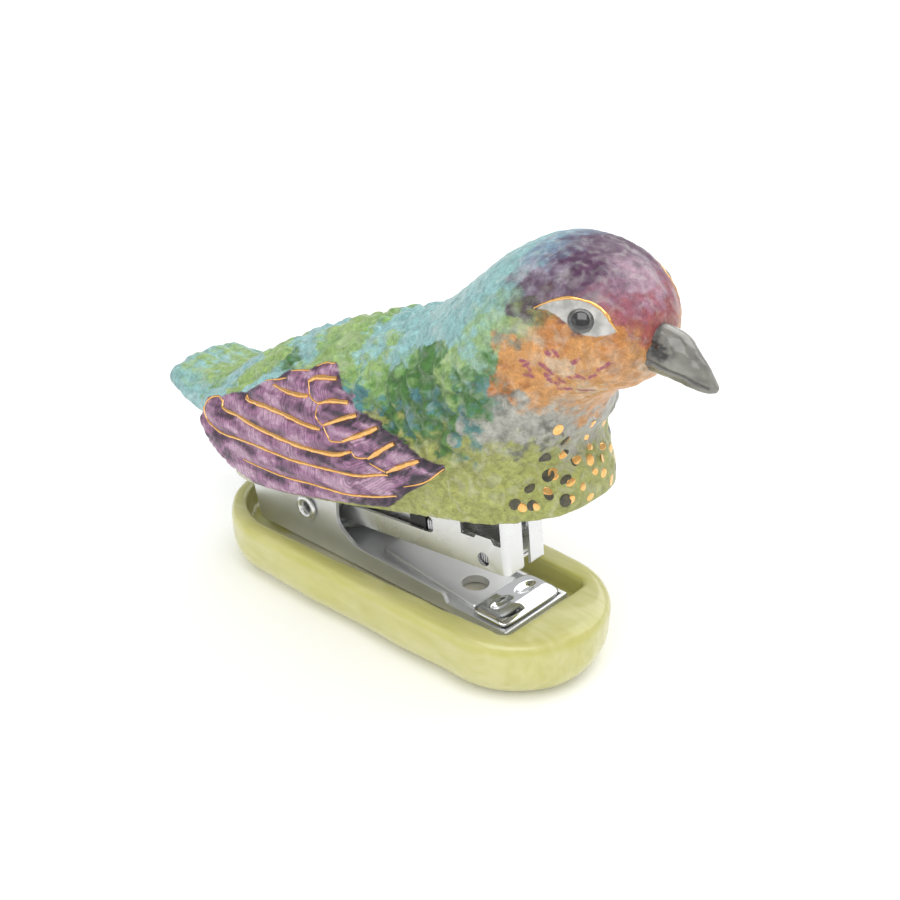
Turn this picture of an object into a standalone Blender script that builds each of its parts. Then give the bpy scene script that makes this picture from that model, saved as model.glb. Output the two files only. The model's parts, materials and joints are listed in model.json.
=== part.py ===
"""Mini stapler dressed as a porcelain bird on a porcelain tray, at rest.

Lengths are in millimetres and MM turns them into metres. +X points to the beak, +Y to the
bird's left and +Z up. The origin is the middle of the tray's resting face.
"""

import math

import bpy
import bmesh
import numpy as np
from mathutils import Matrix, Vector

MM = 0.001
GAP = 0.3  # clearance between pieces that touch
SHEET = 0.8  # steel of the base frame
THIN_SHEET = 0.6  # steel of the magazine
HANDLE_SHEET = 0.7  # steel of the handle
SPRING_STRIP = 0.4  # spring steel of the two leaf springs

# Porcelain tray.
TRAY_LENGTH = 82.0
TRAY_WIDTH = 33.0
TRAY_HEIGHT = 12.0
TRAY_FOOT_RADIUS = 6.6
TRAY_LIP_RADIUS = 1.3
RECESS_FLOOR = 7.6
FRONT_RIM = 9.5
SIDE_RIM = 5.5
REAR_RIM = 3.0

# Pivot shared by the base, the magazine and the handle.
PIVOT_X = -18.5  # behind the middle of the tray
PIVOT_RISE = 7.4  # above the steel base's underside
RIVET_RADIUS = 1.5
RIVET_BORE = 0.9
RIVET_HEAD_RADIUS = 2.5
RIVET_HEAD = 0.5
RIVET_CLEARANCE = 0.25

# Pressed steel base.
BASE_HALF_WIDTH = 8.3
BASE_REAR = -14.8  # from the pivot
BASE_FRONT = 48.0  # from the pivot
EAR_FRONT = 7.5  # from the pivot
EAR_TOP = 4.6  # above the pivot
FLANGE_HEIGHT = 3.2
LOW_FLANGE_HEIGHT = 1.6
STEP_X = 33.5  # from the pivot, where the side flange steps down
FLOOR_HOLE_RADIUS = 2.5
FLOOR_HOLE_X = 33.8  # from the pivot
ANVIL_LENGTH = 8.2
ANVIL_RISE = 2.2  # above the base floor
ANVIL_SET_IN = 0.45
DIMPLE_SPACING = 6.4
ANVIL_RIVET_RADIUS = 0.9
ANVIL_RIVET_SPACING = 12.4

# Magazine, in its own frame: the origin is on the pivot and x runs along it.
MAGAZINE_PITCH = 6.2
MAGAZINE_HALF_WIDTH = 5.15
MAGAZINE_LENGTH = 45.7
MAGAZINE_TAIL = 13.0
MAGAZINE_FLOOR = -2.15
MAGAZINE_TOP = 6.6
POST_TOP = 8.6
POST_SLIT = 1.8
WINDOW_LENGTH = 9.1
SLOT_START = 8.0
SLOT_LENGTH = 21.0
SLOT_LOW = 1.4
SLOT_HIGH = 4.6
SIDE_HOLE_RADIUS = 1.3
EXIT_LEDGE = 0.01  # keeps the staple exit's sides off the channel's own walls
STAPLE_LEG = 4.85
STAPLE_WIRE = 0.5
STAPLE_COUNT = 34
STAPLE_SETBACK = 1.8  # from the front face of the magazine
RAIL_HEIGHT = 4.05
ROD_RADIUS = 0.5
PUSHER_LENGTH = 3.8
COIL_RADIUS = 1.1
COIL_WIRE = 0.25
COIL_TURNS = 12

# Handle, in its own frame: the origin is on the pivot and x runs along it.
HANDLE_PITCH = 14.4
HANDLE_LENGTH = 44.8
HANDLE_TAIL = 12.0
HANDLE_TOP = 10.0
CHEEK_LOW = 3.0
LUG_RADIUS = 3.2
DRIVER_SIDE_GAP = 0.35  # between the driver blade and the magazine's walls
DRIVER_TIP = -1.9
DRIVER_THICKNESS = 0.5
DRIVER_RIVET_RADIUS = 0.9
DRIVER_RIVET_SHARE = 2.3 / 4.2  # of the blade's half width
BED_THICKNESS = 3.4
RIM_RISE = 7.57  # the bird's lower rim above the pivot, in the handle's frame

# Bird.
SHELL = 3.0
WING_RISE = 1.2
WING_SPREAD = 1.8  # how far the wing tips stand out behind the body
WING_SPREAD_X = -33.0
RIM_DROP = 2.0  # how far the rim's front end dips below its plane
RIM_DROP_START = 42.0
RIM_DROP_END = 62.0
TORSO_ROUNDNESS = 2.3
HEAD_ROUNDNESS = 2.1

FLOOR_BOTTOM = RECESS_FLOOR + 1.0
FLOOR_TOP = FLOOR_BOTTOM + SHEET
PIVOT_Z = FLOOR_BOTTOM + PIVOT_RISE
CHANNEL_INNER = MAGAZINE_HALF_WIDTH - THIN_SHEET
DRIVER_HALF_WIDTH = CHANNEL_INNER - DRIVER_SIDE_GAP
HANDLE_INNER = MAGAZINE_HALF_WIDTH + 0.35
HANDLE_OUTER = HANDLE_INNER + HANDLE_SHEET
BASE_INNER = BASE_HALF_WIDTH - SHEET
RAIL_BOTTOM = MAGAZINE_FLOOR + THIN_SHEET + GAP
STAPLE_OUTER = CHANNEL_INNER - 0.2
STAPLE_INNER = STAPLE_OUTER - STAPLE_WIRE
STAPLE_FRONT = MAGAZINE_LENGTH - STAPLE_SETBACK
STAPLE_REAR = STAPLE_FRONT - STAPLE_COUNT * (STAPLE_WIRE + 0.006)
RAIL_OUTER = STAPLE_INNER - GAP
RAIL_INNER = RAIL_OUTER - THIN_SHEET
RAIL_REAR = RIVET_RADIUS + 2.1
RAIL_FRONT = STAPLE_FRONT - THIN_SHEET
RAIL_TOP = RAIL_BOTTOM + RAIL_HEIGHT
ROD_Z = RAIL_BOTTOM + THIN_SHEET + COIL_RADIUS + COIL_WIRE + GAP
PUSHER_FRONT = STAPLE_REAR - GAP
PUSHER_REAR = PUSHER_FRONT - PUSHER_LENGTH
DRIVER_FRONT = HANDLE_LENGTH
WEB_BOTTOM = HANDLE_TOP - HANDLE_SHEET


def clear_scene():
    for obj in list(bpy.data.objects):
        bpy.data.objects.remove(obj, do_unlink=True)


def new_collection(name):
    collection = bpy.data.collections.new(name)
    bpy.context.scene.collection.children.link(collection)
    return collection


def new_material(name, colour, metallic, roughness):
    material = bpy.data.materials.new(name)
    material.use_nodes = True
    shader = material.node_tree.nodes["Principled BSDF"]
    shader.inputs["Base Color"].default_value = (*colour, 1.0)
    shader.inputs["Metallic"].default_value = metallic
    shader.inputs["Roughness"].default_value = roughness
    return material


def new_frame(name, x, z, pitch):
    """An empty on the pivot, with its x axis raised by pitch degrees."""
    frame = bpy.data.objects.new(name, None)
    frame.location = (x * MM, 0.0, z * MM)
    frame.rotation_euler = (0.0, -math.radians(pitch), 0.0)
    PARTS.objects.link(frame)
    return frame


def place(mesh, name, frame=None, material=None):
    """A part when it has a material, otherwise a hidden cutter."""
    obj = bpy.data.objects.new(name, mesh)
    obj.parent = frame
    if material:
        mesh.materials.append(material)
        PARTS.objects.link(obj)
    else:
        obj.hide_render = True
        obj.display_type = "WIRE"
        CUTTERS.objects.link(obj)
    return obj


def mesh_from(bm, name):
    bmesh.ops.recalc_face_normals(bm, faces=bm.faces)
    mesh = bpy.data.meshes.new(name)
    bm.to_mesh(mesh)
    bm.free()
    return mesh


def boolean(obj, other, operation="DIFFERENCE"):
    modifier = obj.modifiers.new(operation.lower(), "BOOLEAN")
    modifier.operation = operation
    modifier.object = other
    return obj


def bevel(obj, width, segments=2):
    modifier = obj.modifiers.new("bevel", "BEVEL")
    modifier.width = width * MM
    modifier.segments = segments
    modifier.limit_method = "ANGLE"
    return obj


def smooth(obj, angle=35.0):
    obj.data.shade_smooth()
    obj.data.set_sharp_from_angle(angle=math.radians(angle))
    return obj


def box(name, low, high, frame=None, material=None):
    bm = bmesh.new()
    bmesh.ops.create_cube(bm, size=1.0)
    size = [(b - a) * MM for a, b in zip(low, high)]
    middle = [(a + b) / 2 * MM for a, b in zip(low, high)]
    bmesh.ops.scale(bm, vec=size, verts=bm.verts)
    bmesh.ops.translate(bm, vec=middle, verts=bm.verts)
    return place(mesh_from(bm, name), name, frame, material)


def cylinder(name, radius, start, end, frame=None, material=None, sides=24):
    start = Vector(start) * MM
    end = Vector(end) * MM
    along = end - start
    turn = along.to_track_quat("Z", "Y").to_matrix().to_4x4()
    bm = bmesh.new()
    bmesh.ops.create_cone(
        bm, cap_ends=True, segments=sides, radius1=radius * MM, radius2=radius * MM,
        depth=along.length, matrix=Matrix.Translation((start + end) / 2) @ turn,
    )
    return place(mesh_from(bm, name), name, frame, material)


def rounded(corners, steps=4):
    """Outline with arcs: each corner is (x, y, radius)."""
    points = []
    for index, (x, y, radius) in enumerate(corners):
        corner = Vector((x, y))
        if radius == 0:
            points.append(corner)
            continue
        before = (Vector(corners[index - 1][:2]) - corner).normalized()
        after = (Vector(corners[(index + 1) % len(corners)][:2]) - corner).normalized()
        half = before.angle(after) / 2
        middle = corner + (before + after).normalized() * radius / math.sin(half)
        first = corner + before * radius / math.tan(half) - middle
        sweep = first.angle_signed(corner + after * radius / math.tan(half) - middle)
        for step in range(steps + 1):
            turn = Matrix.Rotation(-sweep * step / steps, 2)
            points.append(middle + turn @ first)
    return points


def slab(name, corners, low, high, plane="XZ", frame=None, material=None, steps=4):
    """A flat outline with round corners, from low to high along the plane's normal."""
    curve = bpy.data.curves.new(name, "CURVE")
    curve.dimensions = "2D"
    curve.fill_mode = "BOTH"
    curve.extrude = (high - low) / 2 * MM
    outline = rounded(corners, steps)
    spline = curve.splines.new("POLY")
    spline.points.add(len(outline) - 1)
    for point, (x, y) in zip(spline.points, outline):
        point.co = (x * MM, y * MM, 0.0, 1.0)
    spline.use_cyclic_u = True
    flat = bpy.data.objects.new(name, curve)
    bpy.context.scene.collection.objects.link(flat)
    graph = bpy.context.evaluated_depsgraph_get()
    mesh = bpy.data.meshes.new_from_object(flat.evaluated_get(graph))
    bpy.data.objects.remove(flat)
    middle = (low + high) / 2 * MM
    turns = {
        "XY": Matrix.Translation((0, 0, middle)),
        "XZ": Matrix.Translation((0, middle, 0)) @ Matrix.Rotation(math.pi / 2, 4, "X"),
        "YZ": Matrix(((0, 0, 1, middle), (1, 0, 0, 0), (0, 1, 0, 0), (0, 0, 0, 1))),
    }
    bm = bmesh.new()
    bm.from_mesh(mesh)
    bpy.data.meshes.remove(mesh)
    bmesh.ops.remove_doubles(bm, verts=bm.verts, dist=1e-6)
    bmesh.ops.dissolve_limit(bm, angle_limit=0.01, verts=bm.verts, edges=bm.edges)
    bmesh.ops.transform(bm, matrix=turns[plane], verts=bm.verts)
    return place(mesh_from(bm, name), name, frame, material)


def turned(name, profile, centre, axis, frame=None, material=None, steps=24):
    """A profile of (radius, height) from top to bottom, turned about its own Z axis."""
    mesh = bpy.data.meshes.new(name)
    points = [(radius * MM, 0.0, height * MM) for radius, height in profile]
    closed = profile[0][0] > 0
    edges = [(i, i + 1) for i in range(len(points) - 1)]
    if closed:
        edges.append((len(points) - 1, 0))
    mesh.from_pydata(points, edges, [])
    obj = place(mesh, name, frame, material)
    obj.location = Vector(centre) * MM
    obj.rotation_euler = Vector(axis).to_track_quat("Z", "Y").to_euler()
    screw = obj.modifiers.new("turn", "SCREW")
    screw.axis = "Z"
    screw.steps = steps
    screw.render_steps = steps
    screw.use_merge_vertices = True
    screw.merge_threshold = 1e-5
    return obj


def solid_rivet(name, x, y, low, high, shank, head, thickness, frame, material):
    """A rivet along Z: shank between low and high, with a head outside each end."""
    profile = [
        (0.0, high + thickness), (head * 0.7, high + thickness), (head, high + thickness * 0.5),
        (head, high), (shank, high), (shank, low), (head, low), (head, low - thickness),
        (0.0, low - thickness),
    ]
    return smooth(turned(name, profile, (x, y, 0.0), (0, 0, 1), frame, material, steps=16))


def strip(name, path, thickness, half_width, frame, material):
    """A bent flat strip that follows a path in XZ."""
    path = [Vector(point) for point in path]
    left, right = [], []
    for index, point in enumerate(path):
        ahead = path[min(index + 1, len(path) - 1)] - path[max(index - 1, 0)]
        across = Vector((-ahead.y, ahead.x)).normalized() * thickness / 2
        left.append((*(point + across), 0))
        right.append((*(point - across), 0))
    corners = left + right[::-1]
    return slab(name, corners, -half_width, half_width, "XZ", frame, material)


def spline_through(points, count):
    """Catmull-Rom samples through control points of any dimension."""
    points = np.array(points, float)
    padded = np.vstack([2 * points[0] - points[1], points, 2 * points[-1] - points[-2]])
    samples = []
    for place_along in np.linspace(0, len(points) - 1, count):
        span = min(int(place_along), len(points) - 2)
        t = place_along - span
        a, b, c, d = padded[span:span + 4]
        curve = 2 * b + (c - a) * t + (2 * a - 5 * b + 4 * c - d) * t**2
        samples.append((curve + (3 * b - 3 * c + d - a) * t**3) / 2)
    return samples


def loft(name, sections, rings, around, roundness, frame=None, material=None):
    """A closed skin over sections (top x, top z, bottom x, bottom z, half width)."""
    bm = bmesh.new()
    loops = []
    for top_x, top_z, low_x, low_z, half_width in spline_through(sections, rings):
        middle = Vector((top_x + low_x, 0, top_z + low_z)) / 2
        rise = Vector((top_x - low_x, 0, top_z - low_z)) / 2
        loop = []
        for step in range(around):
            angle = 2 * math.pi * (step + 0.5) / around
            up = math.copysign(abs(math.cos(angle)) ** (2 / roundness), math.cos(angle))
            side = math.copysign(abs(math.sin(angle)) ** (2 / roundness), math.sin(angle))
            point = middle + rise * up + Vector((0, half_width * side, 0))
            loop.append(bm.verts.new(point * MM))
        loops.append(loop)
    for one, two in zip(loops, loops[1:]):
        for i in range(around):
            j = (i + 1) % around
            bm.faces.new((one[i], one[j], two[j], two[i]))
    bm.faces.new(loops[0])
    bm.faces.new(loops[-1])
    obj = place(mesh_from(bm, name), name, frame, material)
    if frame:
        obj.matrix_parent_inverse = frame.matrix_world.inverted()
    return obj


def make_tray():
    half_width = TRAY_WIDTH / 2
    straight = TRAY_LENGTH / 2 - half_width
    profile = []
    for step in range(5):
        angle = math.pi / 2 * step / 4
        inset = TRAY_FOOT_RADIUS * (1 - math.sin(angle))
        profile.append((half_width - inset, TRAY_FOOT_RADIUS * (1 - math.cos(angle))))
    for step in range(4):
        angle = math.pi / 2 * step / 3
        inset = TRAY_LIP_RADIUS * (1 - math.cos(angle))
        height = TRAY_HEIGHT - TRAY_LIP_RADIUS * (1 - math.sin(angle))
        profile.append((half_width - inset, height))
    bm = bmesh.new()
    loops = []
    for radius, height in profile:
        loop = []
        for end in (1, -1):
            for step in range(15):
                angle = math.pi * (step / 14 - 0.5)
                x = end * (straight + radius * math.cos(angle))
                point = (x * MM, end * radius * math.sin(angle) * MM, height * MM)
                loop.append(bm.verts.new(point))
        loops.append(loop)
    for one, two in zip(loops, loops[1:]):
        for i in range(len(one)):
            j = (i + 1) % len(one)
            bm.faces.new((one[i], one[j], two[j], two[i]))
    bm.faces.new(loops[0])
    bm.faces.new(loops[-1])
    tray = place(mesh_from(bm, "tray"), "tray", None, PORCELAIN_GREEN)
    front = TRAY_LENGTH / 2 - FRONT_RIM
    front_half = half_width - SIDE_RIM
    rear_half = half_width - REAR_RIM
    corners = [(front, -front_half, 2.5), (front, front_half, 2.5)]
    for step in range(13):
        angle = math.pi * (0.5 + step / 12)
        x = -straight + rear_half * math.cos(angle)
        corners.append((x, rear_half * math.sin(angle), 0))
    recess = slab("recess", corners, RECESS_FLOOR, TRAY_HEIGHT + 2, "XY")
    return smooth(boolean(tray, recess))


def make_base():
    bond = (PIVOT_X + 1.5, PIVOT_X + 38.0)
    box(
        "tray_bond", (bond[0], -6.5, RECESS_FLOOR + GAP), (bond[1], 6.5, FLOOR_BOTTOM - GAP),
        None, ADHESIVE,
    )
    rear = PIVOT_X + BASE_REAR
    front = PIVOT_X + BASE_FRONT
    ear = PIVOT_X + EAR_FRONT
    step = PIVOT_X + STEP_X
    top = PIVOT_Z + EAR_TOP
    flange = FLOOR_BOTTOM + FLANGE_HEIGHT
    low_flange = FLOOR_BOTTOM + LOW_FLANGE_HEIGHT
    side = [
        (rear + 1.8, FLOOR_BOTTOM, 0.6), (front, FLOOR_BOTTOM, 0.4), (front, low_flange, 0.4),
        (step + 0.8, low_flange, 0.6), (step, flange, 0.8), (ear + 4.4, flange + 0.6, 3.0),
        (ear, PIVOT_Z - 0.6, 3.0), (ear, top, 1.2), (rear + 3.0, top, 2.6),
        (rear, PIVOT_Z - 0.2, 1.5),
    ]
    base = slab("base_frame", side, -BASE_HALF_WIDTH, BASE_HALF_WIDTH, "XZ", None, STEEL)
    inside = box(
        "base_inside", (rear - 5, -BASE_INNER, FLOOR_TOP), (front - SHEET, BASE_INNER, top + 5)
    )
    boolean(base, inside)
    rib_rear, rib_front = PIVOT_X + 13.5, PIVOT_X + 38.6
    rib_plan = [
        (rib_rear, -2.6, 1.0), (rib_front, -5.6, 0.6), (rib_front, 5.6, 0.6), (rib_rear, 2.6, 1.0),
    ]
    rib = slab("rib", rib_plan, FLOOR_TOP - 0.3, FLOOR_TOP + 0.7, "XY")
    boolean(base, bevel(rib, 0.3, 1), "UNION")
    hole_x = PIVOT_X + FLOOR_HOLE_X
    cutters = [
        cylinder(
            "floor_hole", FLOOR_HOLE_RADIUS, (hole_x, 0, FLOOR_BOTTOM - 2), (hole_x, 0, FLOOR_TOP + 3)
        ),
        cylinder(
            "ear_holes", RIVET_RADIUS + RIVET_CLEARANCE,
            (PIVOT_X, -BASE_HALF_WIDTH - 2, PIVOT_Z), (PIVOT_X, BASE_HALF_WIDTH + 2, PIVOT_Z),
        ),
    ]
    spring_x = PIVOT_X - 3.5
    for name, x, y in (
        ("spring_hole", spring_x, 0.0),
        ("anvil_hole_left", front - 4.9, ANVIL_RIVET_SPACING / 2),
        ("anvil_hole_right", front - 4.9, -ANVIL_RIVET_SPACING / 2),
    ):
        low, high = (x, y, FLOOR_BOTTOM - 1), (x, y, FLOOR_TOP + 0.1)
        cutters.append(cylinder(name, ANVIL_RIVET_RADIUS + RIVET_CLEARANCE, low, high, sides=16))
    for cutter in cutters:
        boolean(base, cutter)
    smooth(base)
    make_anvil(front)
    make_lift_spring(spring_x)


def make_anvil(front):
    low = FLOOR_TOP + 0.3
    shoulder = FLOOR_BOTTOM + LOW_FLANGE_HEIGHT + GAP + 0.1
    top = FLOOR_TOP + ANVIL_RISE
    start, end = front - ANVIL_LENGTH - 0.6, front - 0.6
    outline = [
        (start, shoulder, 0), (end, shoulder, 0), (end - 0.6, shoulder + 0.5, 0.3),
        (end - 1.9, top, 0.9), (start + 0.5, top, 0.5), (start, shoulder + 0.6, 0.2),
    ]
    half_width = BASE_HALF_WIDTH - ANVIL_SET_IN
    anvil = slab("anvil_plate", outline, -half_width, half_width, "XZ", None, CHROME, steps=3)
    core = box(
        "anvil_core", (start + 0.6, -BASE_INNER + GAP, low),
        (front - SHEET - GAP, BASE_INNER - GAP, shoulder + 0.4),
    )
    boolean(anvil, core, "UNION")
    dimple_x = (start + end) / 2 - 0.5
    for side, name in ((1, "left"), (-1, "right")):
        bm = bmesh.new()
        bmesh.ops.create_uvsphere(bm, u_segments=16, v_segments=8, radius=MM)
        bmesh.ops.scale(bm, vec=(1.15, 2.5, 0.9), verts=bm.verts)
        centre = Vector((dimple_x, side * DIMPLE_SPACING / 2, top + 0.1)) * MM
        bmesh.ops.translate(bm, vec=centre, verts=bm.verts)
        dimple = mesh_from(bm, "dimple_" + name)
        boolean(anvil, place(dimple, "dimple_" + name))
        x, y = front - 4.9, side * ANVIL_RIVET_SPACING / 2
        rivet_top = shoulder + 0.2
        hole = cylinder(
            "anvil_blind_hole_" + name, ANVIL_RIVET_RADIUS + RIVET_CLEARANCE,
            (x, y, low - 1), (x, y, rivet_top), sides=16,
        )
        boolean(anvil, hole)
        profile = [
            (0.0, rivet_top - 0.2), (ANVIL_RIVET_RADIUS, rivet_top - 0.2),
            (ANVIL_RIVET_RADIUS, FLOOR_BOTTOM - GAP), (1.6, FLOOR_BOTTOM - GAP),
            (1.6, RECESS_FLOOR + GAP), (0.0, RECESS_FLOOR + GAP),
        ]
        rivet = turned("anvil_rivet_" + name, profile, (x, y, 0), (0, 0, 1), None, STEEL, steps=16)
        smooth(rivet)
    smooth(anvil)


def make_lift_spring(x):
    """The leaf that lifts the magazine off the anvil."""
    pitch = math.radians(MAGAZINE_PITCH)
    reach = 13.0
    touch = PIVOT_Z + reach * math.sin(pitch) + MAGAZINE_FLOOR * math.cos(pitch)
    low = FLOOR_TOP + GAP + SPRING_STRIP / 2
    high = touch - GAP - SPRING_STRIP / 2
    path = [
        (x - 4.0, low), (x + 4.0, low), (x + 6.5, low + 0.35), (x + 10.0, low + 1.8),
        (x + 13.5, high - 0.6), (PIVOT_X + reach - 1.5, high), (PIVOT_X + reach + 0.5, high - 0.3),
    ]
    spring = strip("lift_spring", path, SPRING_STRIP, 3.0, None, STEEL)
    hole = cylinder(
        "lift_spring_hole", ANVIL_RIVET_RADIUS + RIVET_CLEARANCE,
        (x, 0, low - 1), (x, 0, low + 1), sides=16,
    )
    smooth(boolean(spring, hole))
    solid_rivet(
        "lift_spring_rivet", x, 0, FLOOR_BOTTOM - GAP, low + SPRING_STRIP / 2 + GAP,
        ANVIL_RIVET_RADIUS, 1.8, 0.4, None, STEEL,
    )


def make_pivot():
    reach = BASE_HALF_WIDTH + GAP
    head = reach + RIVET_HEAD
    profile = [
        (RIVET_BORE, head), (RIVET_HEAD_RADIUS - 0.5, head),
        (RIVET_HEAD_RADIUS, reach + 0.2), (RIVET_HEAD_RADIUS, reach), (RIVET_RADIUS, reach),
        (RIVET_RADIUS, -reach), (RIVET_HEAD_RADIUS, -reach), (RIVET_HEAD_RADIUS, -reach - 0.2),
        (RIVET_HEAD_RADIUS - 0.5, -head), (RIVET_BORE, -head),
    ]
    centre = (PIVOT_X, 0, PIVOT_Z)
    smooth(turned("pivot_rivet", profile, centre, (0, 1, 0), None, STEEL))
    low, high = HANDLE_OUTER + GAP, BASE_INNER - GAP
    for side, name in ((1, "left"), (-1, "right")):
        ring = [
            (RIVET_RADIUS + RIVET_CLEARANCE, high), (3.4, high), (3.4, low),
            (RIVET_RADIUS + RIVET_CLEARANCE, low),
        ]
        smooth(turned("pivot_washer_" + name, ring, centre, (0, side, 0), None, STEEL))


def make_magazine(frame):
    length, floor, top = MAGAZINE_LENGTH, MAGAZINE_FLOOR, MAGAZINE_TOP
    window = length - 1.1 - WINDOW_LENGTH
    pitch = math.radians(MAGAZINE_PITCH)
    stop = (FLOOR_TOP + GAP - PIVOT_Z + MAGAZINE_TAIL * math.sin(pitch)) / math.cos(pitch)
    side = [
        (-MAGAZINE_TAIL, stop, 0.3), (-MAGAZINE_TAIL + 2.2, stop + 0.24, 0.3),
        (-MAGAZINE_TAIL + 2.2, floor, 0.4), (length, floor, 0.4), (length, POST_TOP, 0.4),
        (length - 1.2, POST_TOP, 0.2), (length - 1.2, floor + 5.4, 0.3),
        (length - 2.8, floor + 5.4, 0.3), (length - 3.4, floor + 6.35, 0.3),
        (window + 3.5, floor + 6.35, 0.3), (window + 3.0, floor + 5.65, 0.3),
        (window, floor + 5.65, 0.3), (window, top, 0.3), (-6.0, top, 2.5),
        (-MAGAZINE_TAIL, 3.0, 1.5),
    ]
    half = MAGAZINE_HALF_WIDTH
    channel = slab("magazine_channel", side, -half - 1, half + 1, "XZ", frame, STEEL)
    plan = [
        (-30, -half, 0), (length, -half, 1.2), (length, half, 1.2), (-30, half, 0),
    ]
    boolean(channel, slab("magazine_plan", plan, -20, 20, "XY", frame), "INTERSECT")
    inner = [
        (-32, -CHANNEL_INNER, 0), (length - THIN_SHEET, -CHANNEL_INNER, 0.6),
        (length - THIN_SHEET, CHANNEL_INNER, 0.6), (-32, CHANNEL_INNER, 0),
    ]
    boolean(channel, slab("magazine_inside", inner, floor + THIN_SHEET, 20, "XY", frame))
    slot = [
        (SLOT_START, SLOT_LOW, 1.2), (SLOT_START + SLOT_LENGTH, SLOT_LOW, 1.2),
        (SLOT_START + SLOT_LENGTH, SLOT_HIGH, 1.2), (SLOT_START, SLOT_HIGH, 1.2),
    ]
    hole_x = length - 5.4
    exit_half = CHANNEL_INNER - EXIT_LEDGE
    cutters = [
        slab("side_slot", slot, -half - 2, half + 2, "XZ", frame),
        box("post_slit", (length - 0.9, -POST_SLIT / 2, floor - 1), (length + 2, POST_SLIT / 2, 20), frame),
        box(
            "staple_exit", (RAIL_FRONT - 0.1, -exit_half, floor - 1),
            (length - THIN_SHEET - EXIT_LEDGE, exit_half, floor + THIN_SHEET + 0.1), frame,
        ),
        cylinder("side_hole", SIDE_HOLE_RADIUS, (hole_x, -half - 2, -0.2), (hole_x, half + 2, -0.2), frame),
        cylinder(
            "magazine_pivot_hole", RIVET_RADIUS + RIVET_CLEARANCE,
            (0, -half - 2, 0), (0, half + 2, 0), frame,
        ),
    ]
    for cutter in cutters:
        boolean(channel, cutter)
    smooth(channel)
    make_rail(frame)
    make_staples(frame)


def make_rail(frame):
    rail = box(
        "staple_rail", (RAIL_REAR, -RAIL_OUTER, RAIL_BOTTOM), (RAIL_FRONT, RAIL_OUTER, RAIL_TOP),
        frame, STEEL,
    )
    trough = box(
        "rail_trough", (RAIL_REAR + THIN_SHEET, -RAIL_INNER, RAIL_BOTTOM + THIN_SHEET),
        (RAIL_FRONT - THIN_SHEET, RAIL_INNER, RAIL_TOP + 2), frame,
    )
    boolean(rail, trough)
    start, end = RAIL_REAR + THIN_SHEET + GAP, RAIL_FRONT - THIN_SHEET - GAP
    smooth(cylinder("guide_rod", ROD_RADIUS, (start, 0, ROD_Z), (end, 0, ROD_Z), frame, STEEL, 12))
    make_coil(start + COIL_WIRE, PUSHER_REAR - GAP - COIL_WIRE, frame)


def make_coil(start, end, frame):
    points_per_turn = 10
    curve = bpy.data.curves.new("pusher_spring", "CURVE")
    curve.dimensions = "3D"
    curve.bevel_depth = COIL_WIRE * MM
    curve.bevel_resolution = 1
    curve.use_fill_caps = True
    spline = curve.splines.new("POLY")
    count = COIL_TURNS * points_per_turn
    spline.points.add(count)
    for index, point in enumerate(spline.points):
        angle = 2 * math.pi * index / points_per_turn
        x = start + (end - start) * index / count
        y = COIL_RADIUS * math.cos(angle)
        z = ROD_Z + COIL_RADIUS * math.sin(angle)
        point.co = (x * MM, y * MM, z * MM, 1.0)
    curve.materials.append(STEEL)
    coil = bpy.data.objects.new("pusher_spring", curve)
    coil.parent = frame
    PARTS.objects.link(coil)
    weld = coil.modifiers.new("weld", "WELD")
    weld.merge_threshold = 1e-6


def make_staples(frame):
    top = RAIL_BOTTOM + STAPLE_LEG
    staples = box(
        "staple_strip", (STAPLE_REAR, -STAPLE_OUTER, RAIL_BOTTOM), (STAPLE_FRONT, STAPLE_OUTER, top),
        frame, STAPLE_WIRE_STEEL,
    )
    hollow = box(
        "staple_hollow", (STAPLE_REAR - 1, -STAPLE_INNER, RAIL_BOTTOM - 1),
        (STAPLE_FRONT + 1, STAPLE_INNER, top - STAPLE_WIRE), frame,
    )
    boolean(staples, hollow)


def make_pusher(frame):
    top = RAIL_TOP + 1.8
    pusher = box(
        "pusher", (PUSHER_REAR, -STAPLE_OUTER, RAIL_BOTTOM), (PUSHER_FRONT, STAPLE_OUTER, top),
        frame, BLACK_PLASTIC,
    )
    under = RAIL_TOP + GAP
    tongue = RAIL_INNER - GAP
    for side, name in ((1, "left"), (-1, "right")):
        inner, outer = sorted((side * tongue, side * (RAIL_OUTER + GAP)))
        slot = box(
            "pusher_slot_" + name, (PUSHER_REAR - 1, inner, RAIL_BOTTOM - 1),
            (PUSHER_FRONT + 1, outer, under), frame,
        )
        boolean(pusher, slot)
    below = box(
        "pusher_below", (PUSHER_REAR - 1, -tongue - 0.1, RAIL_BOTTOM - 1),
        (PUSHER_FRONT + 1, tongue + 0.1, RAIL_BOTTOM + THIN_SHEET + GAP), frame,
    )
    boolean(pusher, below)
    bore = cylinder(
        "pusher_bore", ROD_RADIUS + 0.25, (PUSHER_REAR - 1, 0, ROD_Z), (PUSHER_FRONT + 1, 0, ROD_Z),
        frame, None, 16,
    )
    boolean(pusher, bore)


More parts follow.
